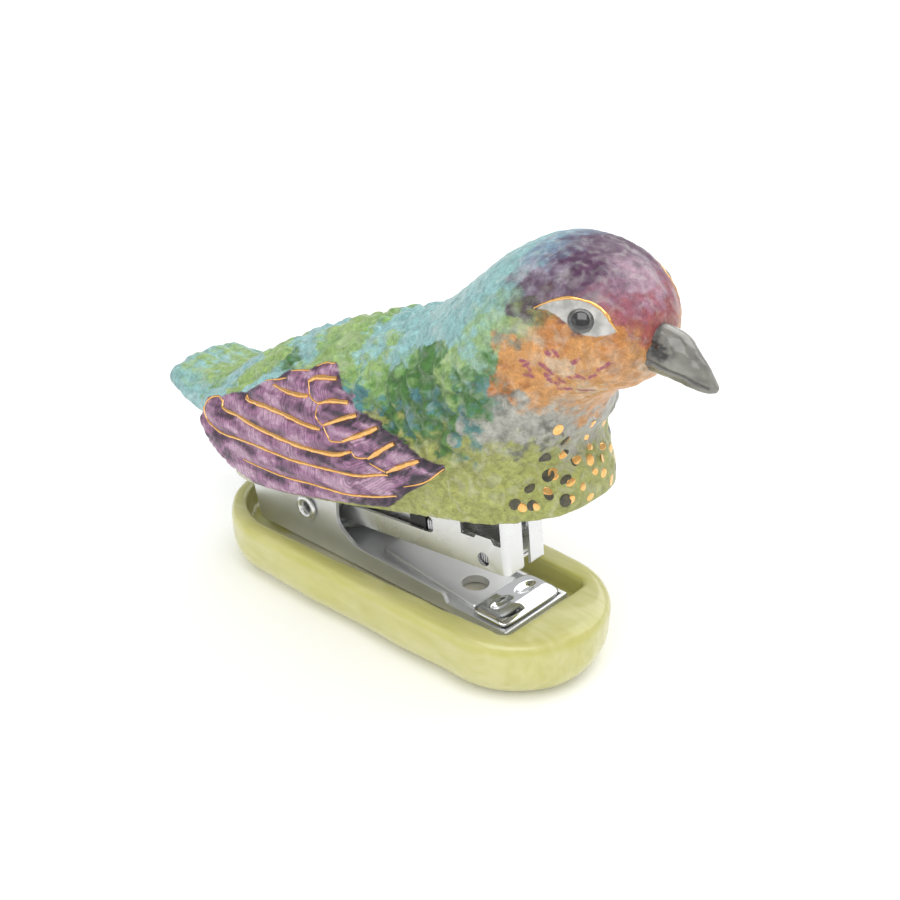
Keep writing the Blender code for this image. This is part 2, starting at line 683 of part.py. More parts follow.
def make_handle(frame):
    length = HANDLE_LENGTH
    side = [
        (-HANDLE_TAIL, CHEEK_LOW + 1, 0.8), (-HANDLE_TAIL, HANDLE_TOP, 0.8),
        (length, HANDLE_TOP, 0.8), (length, CHEEK_LOW, 0.4), (9.0, CHEEK_LOW, 1.5),
        (LUG_RADIUS + 0.3, -LUG_RADIUS, 2.8), (-LUG_RADIUS, -LUG_RADIUS, 2.8),
        (-LUG_RADIUS, CHEEK_LOW + 1, 0.4),
    ]
    handle = slab("handle_channel", side, -HANDLE_OUTER, HANDLE_OUTER, "XZ", frame, STEEL)
    inside = box(
        "handle_inside", (-HANDLE_TAIL - 2, -HANDLE_INNER, -9), (length + 2, HANDLE_INNER, WEB_BOTTOM),
        frame,
    )
    pivot_hole = cylinder(
        "handle_pivot_hole", RIVET_RADIUS + RIVET_CLEARANCE,
        (0, -HANDLE_OUTER - 2, 0), (0, HANDLE_OUTER + 2, 0), frame,
    )
    boolean(handle, inside)
    boolean(handle, pivot_hole)
    flange_top = WEB_BOTTOM - GAP
    flange_low = flange_top - THIN_SHEET
    tip = DRIVER_FRONT - DRIVER_THICKNESS
    blade = [
        (length - 8.0, flange_low, 0), (tip, flange_low, 0), (tip, DRIVER_TIP, 0),
        (DRIVER_FRONT, DRIVER_TIP, 0), (DRIVER_FRONT, flange_top, 0.4), (length - 8.0, flange_top, 0),
    ]
    half = DRIVER_HALF_WIDTH
    driver = slab("driver_blade", blade, -half, half, "XZ", frame, STEEL)
    rivet_y = half * DRIVER_RIVET_SHARE
    spring_top = flange_top
    spring = make_press_spring(frame, spring_top - SPRING_STRIP / 2)
    joints = [
        ("driver_rivet_left", length - 4.8, rivet_y, flange_low, [driver]),
        ("driver_rivet_right", length - 4.8, -rivet_y, flange_low, [driver]),
        ("press_spring_rivet", 6.0, 0.0, spring_top - SPRING_STRIP, [spring]),
    ]
    for name, x, y, low, held in joints:
        hole = cylinder(
            name + "_hole", DRIVER_RIVET_RADIUS + RIVET_CLEARANCE,
            (x, y, low - 2), (x, y, HANDLE_TOP + 2), frame, None, 16,
        )
        for piece in held + [handle]:
            boolean(piece, hole)
        solid_rivet(
            name, x, y, low - GAP, HANDLE_TOP + GAP, DRIVER_RIVET_RADIUS, 1.7, 0.5, frame, STEEL
        )
    smooth(handle)


def make_press_spring(frame, height):
    """The leaf inside the handle that bears on the magazine's side walls."""
    relative = math.radians(HANDLE_PITCH - MAGAZINE_PITCH)
    touch = 30.5
    x = touch * math.cos(relative) + MAGAZINE_TOP * math.sin(relative)
    low = -touch * math.sin(relative) + MAGAZINE_TOP * math.cos(relative)
    low += GAP + SPRING_STRIP / 2 + 0.1
    path = [
        (2.0, height), (11.0, height), (15.0, height - 0.5), (21.0, height - 2.2),
        (x - 2.5, low + 0.7), (x, low), (x + 1.6, low + 0.4),
    ]
    return strip("press_spring", path, SPRING_STRIP, HANDLE_INNER - 0.5, frame, STEEL)


def torso_sections(inset=0.0, rear=-99.0, front=99.0, spread=0.0):
    """Upright sections (x, top, bottom, half width); spread widens them behind the body."""
    stations = [
        (-57.6, 31.2, 28.4, 6.2), (-54.4, 33.0, 27.2, 9.2), (-49.5, 34.4, 26.4, 10.4),
        (-44.0, 35.7, 25.6, 11.8), (-39.0, 37.8, 23.4, 13.0), (-35.5, 39.8, 19.0, 13.8),
        (-30.0, 43.0, 13.0, 15.9), (-22.0, 47.9, 9.0, 17.4), (-10.0, 53.9, 8.0, 18.4),
        (2.0, 58.8, 8.0, 18.6), (12.0, 61.0, 9.0, 18.2), (21.0, 59.0, 12.0, 17.6),
        (29.0, 55.0, 17.0, 16.0), (34.4, 50.5, 22.0, 14.0), (38.2, 46.8, 27.0, 11.0),
        (40.7, 44.0, 31.5, 7.8), (42.0, 41.5, 35.0, 4.0),
    ]
    sections = []
    for x, top, low, half_width in stations:
        if rear <= x <= front:
            half = half_width - inset + (spread if x < WING_SPREAD_X else 0.0)
            sections.append((x, top - inset, x, low - max(inset, 0) * 3, half))
    return sections


HEAD_SECTIONS = [
    (2.0, 58.4, 24.0, 22.0, 18.2), (10.5, 64.0, 33.5, 35.0, 17.8), (17.5, 70.3, 36.6, 44.0, 17.0),
    (24.5, 76.8, 38.9, 51.3, 15.2), (32.0, 80.9, 42.8, 57.4, 13.5), (39.5, 81.3, 47.0, 60.3, 12.0),
    (45.0, 79.4, 50.2, 62.6, 10.0), (48.6, 76.4, 51.2, 66.6, 7.0), (50.2, 73.9, 50.9, 70.2, 3.0),
]
BEAK_SECTIONS = [
    (46.0, 74.5, 44.5, 63.6, 5.4), (50.6, 72.7, 48.6, 64.2, 4.0), (55.3, 70.5, 53.6, 64.1, 2.9),
    (59.4, 68.0, 58.1, 64.3, 1.9), (62.0, 65.8, 61.5, 64.4, 0.7),
]
WING_OUTLINE = [
    (-37.5, 30.0), (-37.6, 34.5), (-33.0, 38.5), (-21.0, 44.0), (-7.0, 51.8), (-1.0, 54.0),
    (3.0, 47.5), (9.0, 44.3), (24.0, 44.5), (20.0, 39.8), (10.0, 31.2), (-8.0, 25.0),
    (-24.0, 24.0), (-31.5, 26.6),
]


def make_bird(frame):
    around = 32
    bird = loft("bird_body", torso_sections(), 44, around, TORSO_ROUNDNESS, frame, PORCELAIN_BLUE)
    boolean(bird, loft("head", HEAD_SECTIONS, 22, around, HEAD_ROUNDNESS, frame), "UNION")
    boolean(bird, loft("beak", BEAK_SECTIONS, 10, 16, 2.0, frame), "UNION")
    outline = [(x, z, 1.0) for x, z in WING_OUTLINE]
    for low, high, name in ((5, 30, "left"), (-30, -5, "right")):
        wing = slab("wing_" + name, outline, low, high, "XZ", frame, steps=2)
        wing.matrix_parent_inverse = frame.matrix_world.inverted()
        skin_sections = torso_sections(-WING_RISE, -45.0, 35.0, WING_SPREAD)
        skin = loft("wing_skin_" + name, skin_sections, 30, around, TORSO_ROUNDNESS, frame)
        boolean(wing, skin, "INTERSECT")
        boolean(bird, wing, "UNION")
    rim_outline = [
        (-60, -80, 0), (RIM_DROP_END + 30, -80, 0), (RIM_DROP_END + 30, RIM_RISE - RIM_DROP, 0),
        (RIM_DROP_END, RIM_RISE - RIM_DROP, 12), (RIM_DROP_START, RIM_RISE, 30), (-60, RIM_RISE, 0),
    ]
    rim = slab("rim_cut", rim_outline, -60, 60, "XZ", frame)
    hollow_sections = torso_sections(SHELL, rear=-36.0, front=39.0)
    hollow = loft("hollow", hollow_sections, 30, 24, TORSO_ROUNDNESS, frame)
    swing_radius = math.hypot(BASE_REAR, 1.0) + 0.7
    swing = cylinder(
        "ear_room", swing_radius, (0, -BASE_HALF_WIDTH - 1, 0), (0, BASE_HALF_WIDTH + 1, 0), frame,
        None, 48,
    )
    for cutter in (rim, hollow, swing):
        boolean(bird, cutter)
    smooth(bird, 50.0)
    bed_low = HANDLE_TOP + GAP
    for name, start, end in (("resin_bed_rear", -9.0, 3.6), ("resin_bed_front", 22.0, 37.5)):
        sections = torso_sections(SHELL + GAP, rear=-36.0, front=39.0)
        bed = loft(name, sections, 24, 24, TORSO_ROUNDNESS, frame, RESIN)
        limits = box(name + "_limits", (start, -40, bed_low), (end, 40, bed_low + BED_THICKNESS), frame)
        boolean(bed, limits, "INTERSECT")


clear_scene()
PARTS = new_collection("bird_stapler")
CUTTERS = new_collection("cutters")
PORCELAIN_GREEN = new_material("porcelain_green", (0.62, 0.63, 0.26), 0.0, 0.35)
PORCELAIN_BLUE = new_material("porcelain_blue", (0.25, 0.52, 0.50), 0.0, 0.2)
STEEL = new_material("steel", (0.75, 0.76, 0.78), 1.0, 0.18)
CHROME = new_material("chrome", (0.82, 0.83, 0.85), 1.0, 0.06)
STAPLE_WIRE_STEEL = new_material("staple_wire", (0.6, 0.6, 0.62), 1.0, 0.3)
BLACK_PLASTIC = new_material("black_plastic", (0.03, 0.03, 0.035), 0.0, 0.4)
ADHESIVE = new_material("adhesive", (0.75, 0.73, 0.66), 0.0, 0.6)
RESIN = new_material("resin", (0.55, 0.5, 0.4), 0.0, 0.5)
MAGAZINE_FRAME = new_frame("magazine_pivot", PIVOT_X, PIVOT_Z, MAGAZINE_PITCH)
HANDLE_FRAME = new_frame("handle_pivot", PIVOT_X, PIVOT_Z, HANDLE_PITCH)
bpy.context.view_layer.update()
make_tray()
make_base()
make_pivot()
make_magazine(MAGAZINE_FRAME)
make_pusher(MAGAZINE_FRAME)
make_handle(HANDLE_FRAME)
make_bird(HANDLE_FRAME)
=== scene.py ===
# %% [markdown]
# # A porcelain bird on a small stapler
# This lesson dresses a finished stapler model in its looks. The steel mechanism keeps its
# shape and gets polished metal. The tray and the bird are hand-made porcelain, so they are
# modelled again here as soft, slightly uneven bodies under a clear glaze.
#
# Everything is worked out in millimetres and turned into metres when a mesh is made.

import json
import math

import bmesh
import bpy
import numpy as np
from mathutils import Matrix, Vector, noise
from mathutils.bvhtree import BVHTree

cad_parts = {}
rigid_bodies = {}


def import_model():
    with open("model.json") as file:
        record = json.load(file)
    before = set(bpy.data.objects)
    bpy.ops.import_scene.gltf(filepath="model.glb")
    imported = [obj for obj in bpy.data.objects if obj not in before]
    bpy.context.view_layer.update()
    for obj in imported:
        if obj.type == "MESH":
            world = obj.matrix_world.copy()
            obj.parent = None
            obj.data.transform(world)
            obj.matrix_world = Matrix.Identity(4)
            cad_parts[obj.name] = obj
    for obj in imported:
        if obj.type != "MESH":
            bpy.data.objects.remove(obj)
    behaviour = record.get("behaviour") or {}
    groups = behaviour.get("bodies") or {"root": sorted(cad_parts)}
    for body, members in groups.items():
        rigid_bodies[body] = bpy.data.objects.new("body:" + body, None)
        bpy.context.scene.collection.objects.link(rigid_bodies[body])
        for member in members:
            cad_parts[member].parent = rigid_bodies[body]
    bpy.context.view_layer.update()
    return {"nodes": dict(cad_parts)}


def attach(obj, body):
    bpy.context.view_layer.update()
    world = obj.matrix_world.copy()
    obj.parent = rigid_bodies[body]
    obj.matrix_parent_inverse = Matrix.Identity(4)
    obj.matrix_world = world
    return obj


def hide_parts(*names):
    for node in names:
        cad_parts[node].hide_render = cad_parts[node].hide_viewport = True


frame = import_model()
MM = 0.001

# %% [markdown]
# ## Ways to write a finish
# A finish is a node tree, and so is a Geometry Nodes group. One small class adds a node and
# joins what goes into it. A second one keeps material trees short: it starts each with a
# position in millimetres, which moves with the piece, and has one line for each usual node.

# %% One way to add a node


class Tree:
    """Adds nodes to self.tree. An input is either another node's output or a plain value."""

    def node(self, kind, inputs, **settings):
        made = self.tree.nodes.new(kind)
        for name, value in settings.items():
            setattr(made, name, value)
        for name, value in inputs.items():
            if isinstance(value, bpy.types.NodeSocket):
                self.tree.links.new(value, made.inputs[name])
            else:
                made.inputs[name].default_value = value
        return made


print("node trees are written with:", Tree.__name__)

# %% Material helpers


class Finish(Tree):
    """A material with short ways to add nodes."""

    def __init__(self, name, metallic=0.0, coat=0.0, coat_roughness=0.03):
        self.material = bpy.data.materials.new(name)
        self.material.use_nodes = True
        self.tree = self.material.node_tree
        self.shader = self.tree.nodes["Principled BSDF"]
        self.shader.inputs["Metallic"].default_value = metallic
        self.shader.inputs["Coat Weight"].default_value = coat
        self.shader.inputs["Coat Roughness"].default_value = coat_roughness
        place = self.tree.nodes.new("ShaderNodeTexCoord").outputs["Object"]
        self.place = self.scaled(place, (1 / MM, 1 / MM, 1 / MM))

    def scaled(self, vector, scale):
        made = self.node("ShaderNodeVectorMath", {0: vector, 1: scale}, operation="MULTIPLY")
        return made.outputs[0]

    def noise(self, size, detail=3.0, stretch=(1, 1, 1), distortion=0.0):
        """Noise between 0 and 1 whose lumps are size mm across."""
        vector = self.scaled(self.place, tuple(1 / (size * s) for s in stretch))
        inputs = {"Vector": vector, "Scale": 1.0, "Detail": detail, "Distortion": distortion}
        return self.node("ShaderNodeTexNoise", inputs).outputs["Fac"]

    def spread(self, value, low, high, to_low=0.0, to_high=1.0):
        inputs = {0: value, 1: low, 2: high, 3: to_low, 4: to_high}
        return self.node("ShaderNodeMapRange", inputs).outputs[0]

    def maths(self, operation, one, two=0.0):
        return self.node("ShaderNodeMath", {0: one, 1: two}, operation=operation).outputs[0]

    def mix(self, factor, one, two, blend="MIX"):
        one, two = [c if isinstance(c, bpy.types.NodeSocket) else (*c, 1.0) for c in (one, two)]
        inputs = {0: factor, 6: one, 7: two}
        return self.node("ShaderNodeMix", inputs, data_type="RGBA", blend_type=blend).outputs[2]

    def attribute(self, name, output="Fac"):
        made = self.tree.nodes.new("ShaderNodeAttribute")
        made.attribute_name = name
        return made.outputs[output]

    def bump(self, height, depth, strength=1.0):
        inputs = {"Height": height, "Distance": depth * MM, "Strength": strength}
        normal = self.node("ShaderNodeBump", inputs).outputs[0]
        self.tree.links.new(normal, self.shader.inputs["Normal"])

    def set(self, **inputs):
        for name, value in inputs.items():
            socket = self.shader.inputs[name.replace("_", " ")]
            self.tree.links.new(value, socket)
        return self.material


def metal(name, colour, rough, streak=(1, 1, 1), depth=0.01, metallic=1.0):
    """A metal whose grain is drawn out along streak, with bump depth in mm."""
    finish = Finish(name, metallic=metallic)
    cloud = finish.noise(9.0, 4.0, distortion=0.4)
    grain = finish.noise(0.35, 3.0, streak)
    darker = tuple(c * 0.93 for c in colour)
    shade = finish.mix(finish.spread(cloud, 0.35, 0.65), darker, colour)
    worn = finish.spread(finish.noise(6.0, 3.0), 0.35, 0.75, rough, rough * 1.3)
    finish.bump(grain, depth)
    return finish.set(Base_Color=shade, Roughness=worn)


def dull(name, colour, other, rough, grain_size, depth):
    """A finish for plastic, glue and resin."""
    finish = Finish(name)
    cloud = finish.spread(finish.noise(grain_size * 4, 4.0), 0.35, 0.65)
    finish.bump(finish.noise(grain_size, 4.0), depth)
    wear = finish.spread(finish.noise(grain_size * 2), 0.3, 0.7, rough * 0.8, rough * 1.2)
    return finish.set(Base_Color=finish.mix(cloud, colour, other), Roughness=wear)


print("finishes are written with:", metal.__name__, dull.__name__)

# %% [markdown]
# ## The steel
# The mechanism is nickel-plated sheet steel. It is pressed and barrel polished, so it is
# bright with a slight orange-peel waviness. The anvil plate is chromed, and is the brightest
# piece. The wire staples are duller. Each finish varies in tone and roughness, because even
# new plated parts carry faint clouds from handling.

# %% Metals
STEEL = metal("polished_steel", (0.80, 0.81, 0.81), 0.25, (1, 6, 1), 0.006, metallic=0.85)
CHROME = metal("bright_chrome", (0.86, 0.87, 0.88), 0.05, depth=0.004)
WIRE = metal("staple_wire", (0.55, 0.55, 0.56), 0.26)
SATIN = metal("satin_steel", (0.80, 0.81, 0.82), 0.3, (6, 1, 1), 0.006, metallic=0.7)
print("metals:", [m.name for m in (STEEL, CHROME, WIRE, SATIN)])

# %% Small parts, and every mechanism piece dressed
PLASTIC = dull("black_plastic", (0.02, 0.02, 0.022), (0.035, 0.035, 0.04), 0.42, 0.5, 0.02)
GLUE = dull("adhesive", (0.72, 0.7, 0.6), (0.6, 0.56, 0.45), 0.55, 1.2, 0.15)
RESIN = dull("cast_resin", (0.56, 0.5, 0.38), (0.45, 0.4, 0.3), 0.5, 1.6, 0.1)
BY_SLOT = {
    "steel": STEEL, "chrome": CHROME, "staple_wire": WIRE, "black_plastic": PLASTIC,
    "adhesive": GLUE, "resin": RESIN,
}
dressed = 0
for cad_node in frame["nodes"].values():
    for index, old in enumerate(cad_node.data.materials):
        for slot_name, new in BY_SLOT.items():
            if old and old.name.split(".")[0] == slot_name:
                cad_node.data.materials[index] = new
                dressed += 1
print("CAD material slots dressed:", dressed)

# %% [markdown]
# ## Mesh tools
# The soft bodies are made the way a modeller works in clay. Rough closed shapes are pushed
# into one another and melted into a single skin of small even squares. The skin is then
# smoothed, and every point can be moved by rules to press relief into it.

# %% Making objects and meshes


def new_object(name, mesh, body, finish, slot):
    obj = bpy.data.objects.new(name, mesh)
    bpy.context.scene.collection.objects.link(obj)
    mesh.materials.clear()
    mesh.materials.append(finish)
    mesh.shade_smooth()
    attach(obj, body)
    return obj


def mesh_of(name, points, faces):
    mesh = bpy.data.meshes.new(name)
    mesh.from_pydata((np.asarray(points) * MM).tolist(), [], [list(map(int, f)) for f in faces])
    mesh.update()
    return mesh


def arrays_of(mesh):
    """Points in mm, and the faces as a plain list."""
    points = np.empty(len(mesh.vertices) * 3)
    mesh.vertices.foreach_get("co", points)
    return points.reshape(-1, 3) / MM, [tuple(f.vertices) for f in mesh.polygons]


def evaluated(mesh, set_up):
    """The mesh after the modifiers that set_up adds to a passing object."""
    obj = bpy.data.objects.new("passing", mesh)
    bpy.context.scene.collection.objects.link(obj)
    set_up(obj)
    graph = bpy.context.evaluated_depsgraph_get()
    made = bpy.data.meshes.new_from_object(obj.evaluated_get(graph))
    bpy.data.objects.remove(obj)
    return made


def outward(mesh):
    bm = bmesh.new()
    bm.from_mesh(mesh)
    bmesh.ops.recalc_face_normals(bm, faces=bm.faces)
    bm.to_mesh(mesh)
    bm.free()
    return mesh


print("objects are made by:", new_object.__name__)

# %% Melting, cutting and smoothing


def melted(shapes, voxel):
    """One even skin round several closed shapes, each (points, faces) in mm."""
    points, faces, start = [], [], 0
    for shape_points, shape_faces in shapes:
        points.append(shape_points)
        faces += [[i + start for i in face] for face in shape_faces]
        start += len(shape_points)
    mesh = outward(mesh_of("melt", np.vstack(points), faces))

    def set_up(obj):
        remesh = obj.modifiers.new("melt", "REMESH")
        remesh.mode = "VOXEL"
        remesh.voxel_size = voxel * MM

    return arrays_of(evaluated(mesh, set_up))


def cut(mesh, cutters):
    """The mesh with closed cutter meshes taken away."""
    helpers = []
    for cutter in cutters:
        helper = bpy.data.objects.new("cutter", outward(cutter))
        bpy.context.scene.collection.objects.link(helper)
        helpers.append(helper)

    def set_up(obj):
        for helper in helpers:
            modifier = obj.modifiers.new("cut", "BOOLEAN")
            modifier.operation = "DIFFERENCE"
            modifier.object = helper

    made = evaluated(mesh, set_up)
    for helper in helpers:
        bpy.data.objects.remove(helper)
    return made


PULL_IN, PUSH_OUT = 0.5, -0.51


def edges_of(faces):
    pairs = [(f[i - 1], f[i]) for f in faces for i in range(len(f))]
    pairs = np.sort(np.array(pairs), axis=1)
    return np.unique(pairs, axis=0)


def smoothed(points, faces, rounds):
    """Points relaxed towards their neighbours, then pushed back so that nothing shrinks."""
    edges = edges_of(faces)
    ends = np.concatenate([edges[:, 0], edges[:, 1]])
    others = np.concatenate([edges[:, 1], edges[:, 0]])
    share = 1.0 / np.maximum(np.bincount(ends, minlength=len(points)), 1)
    points = points.copy()
    for turn in range(rounds * 2):
        pull = PULL_IN if turn % 2 == 0 else PUSH_OUT
        mean = np.stack(
            [np.bincount(ends, points[others, k], len(points)) * share for k in range(3)], axis=1
        )
        points += pull * (mean - points)
    return points


def normals_of(points, faces):
    mesh = mesh_of("normals", points, faces)
    normals = np.empty(len(points) * 3)
    mesh.vertex_normals.foreach_get("vector", normals)
    bpy.data.meshes.remove(mesh)
    return normals.reshape(-1, 3)


print("each smoothing round pulls and pushes by:", PULL_IN, PUSH_OUT)

# %% Noise, lofts and prisms


def rough(points, size, octaves=3):
    """Smooth noise about -0.5 to 0.5 at each point, with lumps size mm across."""
    return np.array([noise.fractal(p, 1.0, 2.0, octaves) for p in (points / size).tolist()])


def cells(points, size):
    """Distance to the nearest cell centre, the gap to the next one, and the centre, in mm."""
    found = [noise.voronoi(p) for p in (points / size).tolist()]
    near = np.array([f[0][0] for f in found])
    gap = np.array([f[0][1] for f in found]) - near
    return near, gap, np.array([tuple(f[1][0]) for f in found]) * size


def spline_through(points, count):
    """Catmull-Rom samples through control points of any dimension."""
    points = np.array(points, float)
    padded = np.vstack([2 * points[0] - points[1], points, 2 * points[-1] - points[-2]])
    samples = []
    for place_along in np.linspace(0, len(points) - 1, count):
        span = min(int(place_along), len(points) - 2)
        t = place_along - span
        a, b, c, d = padded[span:span + 4]
        curve = 2 * b + (c - a) * t + (2 * a - 5 * b + 4 * c - d) * t**2
        samples.append((curve + (3 * b - 3 * c + d - a) * t**3) / 2)
    return np.array(samples)


def ring_faces(rings, around):
    faces = []
    for ring in range(rings - 1):
        for i in range(around):
            j = (i + 1) % around
            a, b = ring * around, (ring + 1) * around
            faces.append((a + i, a + j, b + j, b + i))
    return faces + [tuple(range(around)), tuple(range((rings - 1) * around, rings * around))]


def loft(sections, rings, around, roundness):
    """A closed skin over sections (top x, top z, bottom x, bottom z, half width)."""
    angles = 2 * np.pi * (np.arange(around) + 0.5) / around
    up = np.sign(np.cos(angles)) * np.abs(np.cos(angles)) ** (2 / roundness)
    side = np.sign(np.sin(angles)) * np.abs(np.sin(angles)) ** (2 / roundness)
    points = []
    for tx, tz, lx, lz, half in spline_through(sections, rings):
        x = (tx + lx) / 2 + (tx - lx) / 2 * up
        z = (tz + lz) / 2 + (tz - lz) / 2 * up
        points.append(np.stack([x, half * side, z], axis=1))
    return np.vstack(points), ring_faces(rings, around)


def prism(outline, low, high):
    """An outline in XZ taken from y = low to y = high."""
    points = [(x, y, z) for y in (low, high) for x, z in outline]
    return np.array(points, float), ring_faces(2, len(outline))


print("a four-sided prism has faces:", len(ring_faces(2, 4)))

# %% Distances and fields


def path_distance(points2, path):
    """Distance in mm from each 2-D point to an open path."""
    best = np.full(len(points2), 1e9)
    path = np.array(path, float)
    for a, b in zip(path, path[1:]):
        along = np.clip(((points2 - a) @ (b - a)) / ((b - a) @ (b - a)), 0, 1)
        best = np.minimum(best, np.linalg.norm(points2 - a - along[:, None] * (b - a), axis=1))
    return best


def inside_distance(points2, outline):
    """Distance to a closed outline, positive inside."""
    outline = np.array(outline, float)
    closed = np.vstack([outline, outline[:1]])
    inside = np.zeros(len(points2), bool)
    for (ax, az), (bx, bz) in zip(closed, closed[1:]):
        if az == bz:
            continue
        crosses = (az > points2[:, 1]) != (bz > points2[:, 1])
        at = ax + (points2[:, 1] - az) * (bx - ax) / (bz - az)
        inside ^= crosses & (points2[:, 0] < at)
    distance = path_distance(points2, closed)
    return np.where(inside, distance, -distance)


def ease(value, low, high):
    """0 below low, 1 above high and a soft step between."""
    t = np.clip((value - low) / (high - low), 0, 1)
    return t * t * (3 - 2 * t)


def set_field(mesh, name, values):
    """Stores a number or a colour for each point, which a finish reads by name."""
    kind = "FLOAT_COLOR" if values.ndim == 2 else "FLOAT"
    layer = mesh.attributes.new(name, kind, "POINT")
    if values.ndim == 2:
        values = np.concatenate([values, np.ones((len(values), 1))], axis=1)
        layer.data.foreach_set("color", values.ravel())
    else:
        layer.data.foreach_set("value", values)


print("halfway up a soft step:", ease(0.5, 0, 1))

# %% [markdown]
# ## The tray
# The tray is slip-cast porcelain. Casting leaves soft edges, and the painter brushed a yellow
# green glaze on by hand, so the colour pools darker along the lip and the recess keeps faint
# brush ridges. The outline is a long round-ended bar. Its section is a bowl below and a small
# roll at the lip, and the recess for the steel base is cut and then softened.

# %% Tray sizes
TRAY_HALF_LENGTH, TRAY_HALF_WIDTH, TRAY_HEIGHT = 41.0, 16.5, 12.0
FOOT_RADIUS, LIP_RADIUS = 6.6, 1.6
RECESS_FLOOR, FRONT_RIM, SIDE_RIM, REAR_RIM = 7.6, 9.5, 5.5, 3.0
STRAIGHT = TRAY_HALF_LENGTH - TRAY_HALF_WIDTH
ABOVE_TRAY = 20.0
PLAN_CHAMFER = 1.0
TRAY_VOXEL = 0.55
print("tray in mm:", 2 * TRAY_HALF_LENGTH, 2 * TRAY_HALF_WIDTH, TRAY_HEIGHT)

# %% Tray mesh


def bar_ring(radius, height, steps=48):
    """A level outline of the bar, at one height."""
    ring = []
    for end in (1, -1):
        for angle in np.linspace(-np.pi / 2, np.pi / 2, steps):
            x = end * (STRAIGHT + radius * math.cos(angle))
            ring.append((x, end * radius * math.sin(angle), height))
    return ring


def tray_bowl():
    """The tray before its recess is cut: a round foot below and a small roll at the lip."""
    rings = []
    for angle in np.linspace(0, np.pi / 2, 14):
        radius = TRAY_HALF_WIDTH - FOOT_RADIUS * (1 - math.sin(angle))
        rings.append(bar_ring(radius, FOOT_RADIUS * (1 - math.cos(angle))))
    for angle in np.linspace(0, np.pi / 2, 8):
        radius = TRAY_HALF_WIDTH - LIP_RADIUS * (1 - math.cos(angle))
        rings.append(bar_ring(radius, TRAY_HEIGHT - LIP_RADIUS * (1 - math.sin(angle))))
    return outward(mesh_of("tray", np.vstack(rings), ring_faces(len(rings), len(rings[0]))))


def recess_plan():
    """The recess seen from above: nearly square in front, round at the rear."""
    front = TRAY_HALF_LENGTH - FRONT_RIM
    front_half, rear_half = TRAY_HALF_WIDTH - SIDE_RIM, TRAY_HALF_WIDTH - REAR_RIM
    plan = [(front - PLAN_CHAMFER, -front_half), (front, -front_half + PLAN_CHAMFER)]
    plan += [(front, front_half - PLAN_CHAMFER), (front - PLAN_CHAMFER, front_half)]
    for angle in np.linspace(np.pi / 2, 1.5 * np.pi, 40):
        plan.append((-STRAIGHT + rear_half * math.cos(angle), rear_half * math.sin(angle)))
    return plan


def make_tray():
    plan = recess_plan()
    points = [(x, y, z) for z in (RECESS_FLOOR, ABOVE_TRAY) for x, y in plan]
    recess = mesh_of("recess", points, ring_faces(2, len(plan)))
    points, faces = melted([arrays_of(cut(tray_bowl(), [recess]))], TRAY_VOXEL)
    points = smoothed(points, faces, 5)
    normals = normals_of(points, faces)
    foot = ease(points[:, 2], 0.0, 2.5)
    points += normals * (rough(points, 11.0, 2) * 0.28 * foot)[:, None]
    in_recess = (inside_distance(points[:, :2], plan) > 0.5) & (points[:, 2] < TRAY_HEIGHT - 2)
    ridges = np.sin(points[:, 1] * 2.4 + rough(points, 9.0, 1) * 5) * ease(-points[:, 0], 15, 27)
    points[:, 2] += np.where(in_recess & (normals[:, 2] > 0.6), ridges * 0.12, 0)
    points[:, 2] = np.maximum(points[:, 2], 0.0)
    mesh = mesh_of("tray_glazed", points, faces)
    edge = np.abs(inside_distance(points[:, :2], plan)) + (TRAY_HEIGHT - points[:, 2]) * 0.8
    outer = np.abs(points[:, 2] - TRAY_HEIGHT + 1.4)
    darkening = 0.7 * np.exp(-((edge / 0.6) ** 2)) + 0.9 * np.exp(-((outer / 0.5) ** 2)) * (edge > 2.5)
    set_field(mesh, "lip", darkening)
    # The recess floor is made pale towards the front. This is partly a paler glaze and partly
    # painted light that lifts the shade falling in the recess.
    along = points[:, 0] + rough(points, 8.0) * 9
    set_field(mesh, "well_glaze_and_painted_light", 0.85 * in_recess * ease(along, -34, -20))
    return mesh


tray_mesh = make_tray()
print("tray faces:", len(tray_mesh.polygons))

# %% Tray glaze


def tray_finish():
    """Two greens brushed over each other, darker at the lip, and pale in the recess: a paler glaze
    there, lifted further by painted light against its shade.
    """
    finish = Finish("tray_glaze", coat=0.75, coat_roughness=0.12)
    wash = finish.spread(finish.noise(13.0, 4.0, (1.6, 1, 1), 0.6), 0.35, 0.68)
    brushed = finish.spread(finish.noise(1.7, 4.0, (5, 1, 1.6), 0.5), 0.35, 0.75)
    colour = finish.mix(wash, (0.57, 0.55, 0.16), (0.63, 0.60, 0.27))
    colour = finish.mix(finish.maths("MULTIPLY", brushed, 0.5), colour, (0.44, 0.43, 0.07))
    darkening = finish.maths("MULTIPLY", finish.attribute("lip"), finish.noise(5.0, 3.0))
    colour = finish.mix(finish.maths("MULTIPLY", darkening, 1.1), colour, (0.50, 0.49, 0.07))
    # Painted light, over a paler glaze: the recess floor is lifted to a pale colour against the
    # shade that falls in it.
    colour = finish.mix(finish.attribute("well_glaze_and_painted_light"), colour, (0.84, 0.82, 0.66))
    finish.bump(finish.noise(0.9, 5.0), 0.05, 0.7)
    worn = finish.spread(finish.noise(4.0), 0.3, 0.7, 0.32, 0.5)
    return finish.set(Base_Color=colour, Roughness=worn)


tray = new_object("tray_glazed", tray_mesh, "base", tray_finish(), "porcelain_green")
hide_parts("tray")
print("tray finish:", tray.data.materials[0].name)

# %% [markdown]
# ## Pressed steel with broken edges
# Blanking and tumbling leave sheet steel with edges that are rounded by a tenth or two of a
# millimetre. Those edges catch a bright line of light, and that line is most of what makes
# metal read as metal. Each main plate is a copy of its mechanism shape with its sharp
# edges rolled over.

# %% Edge-rounded plates


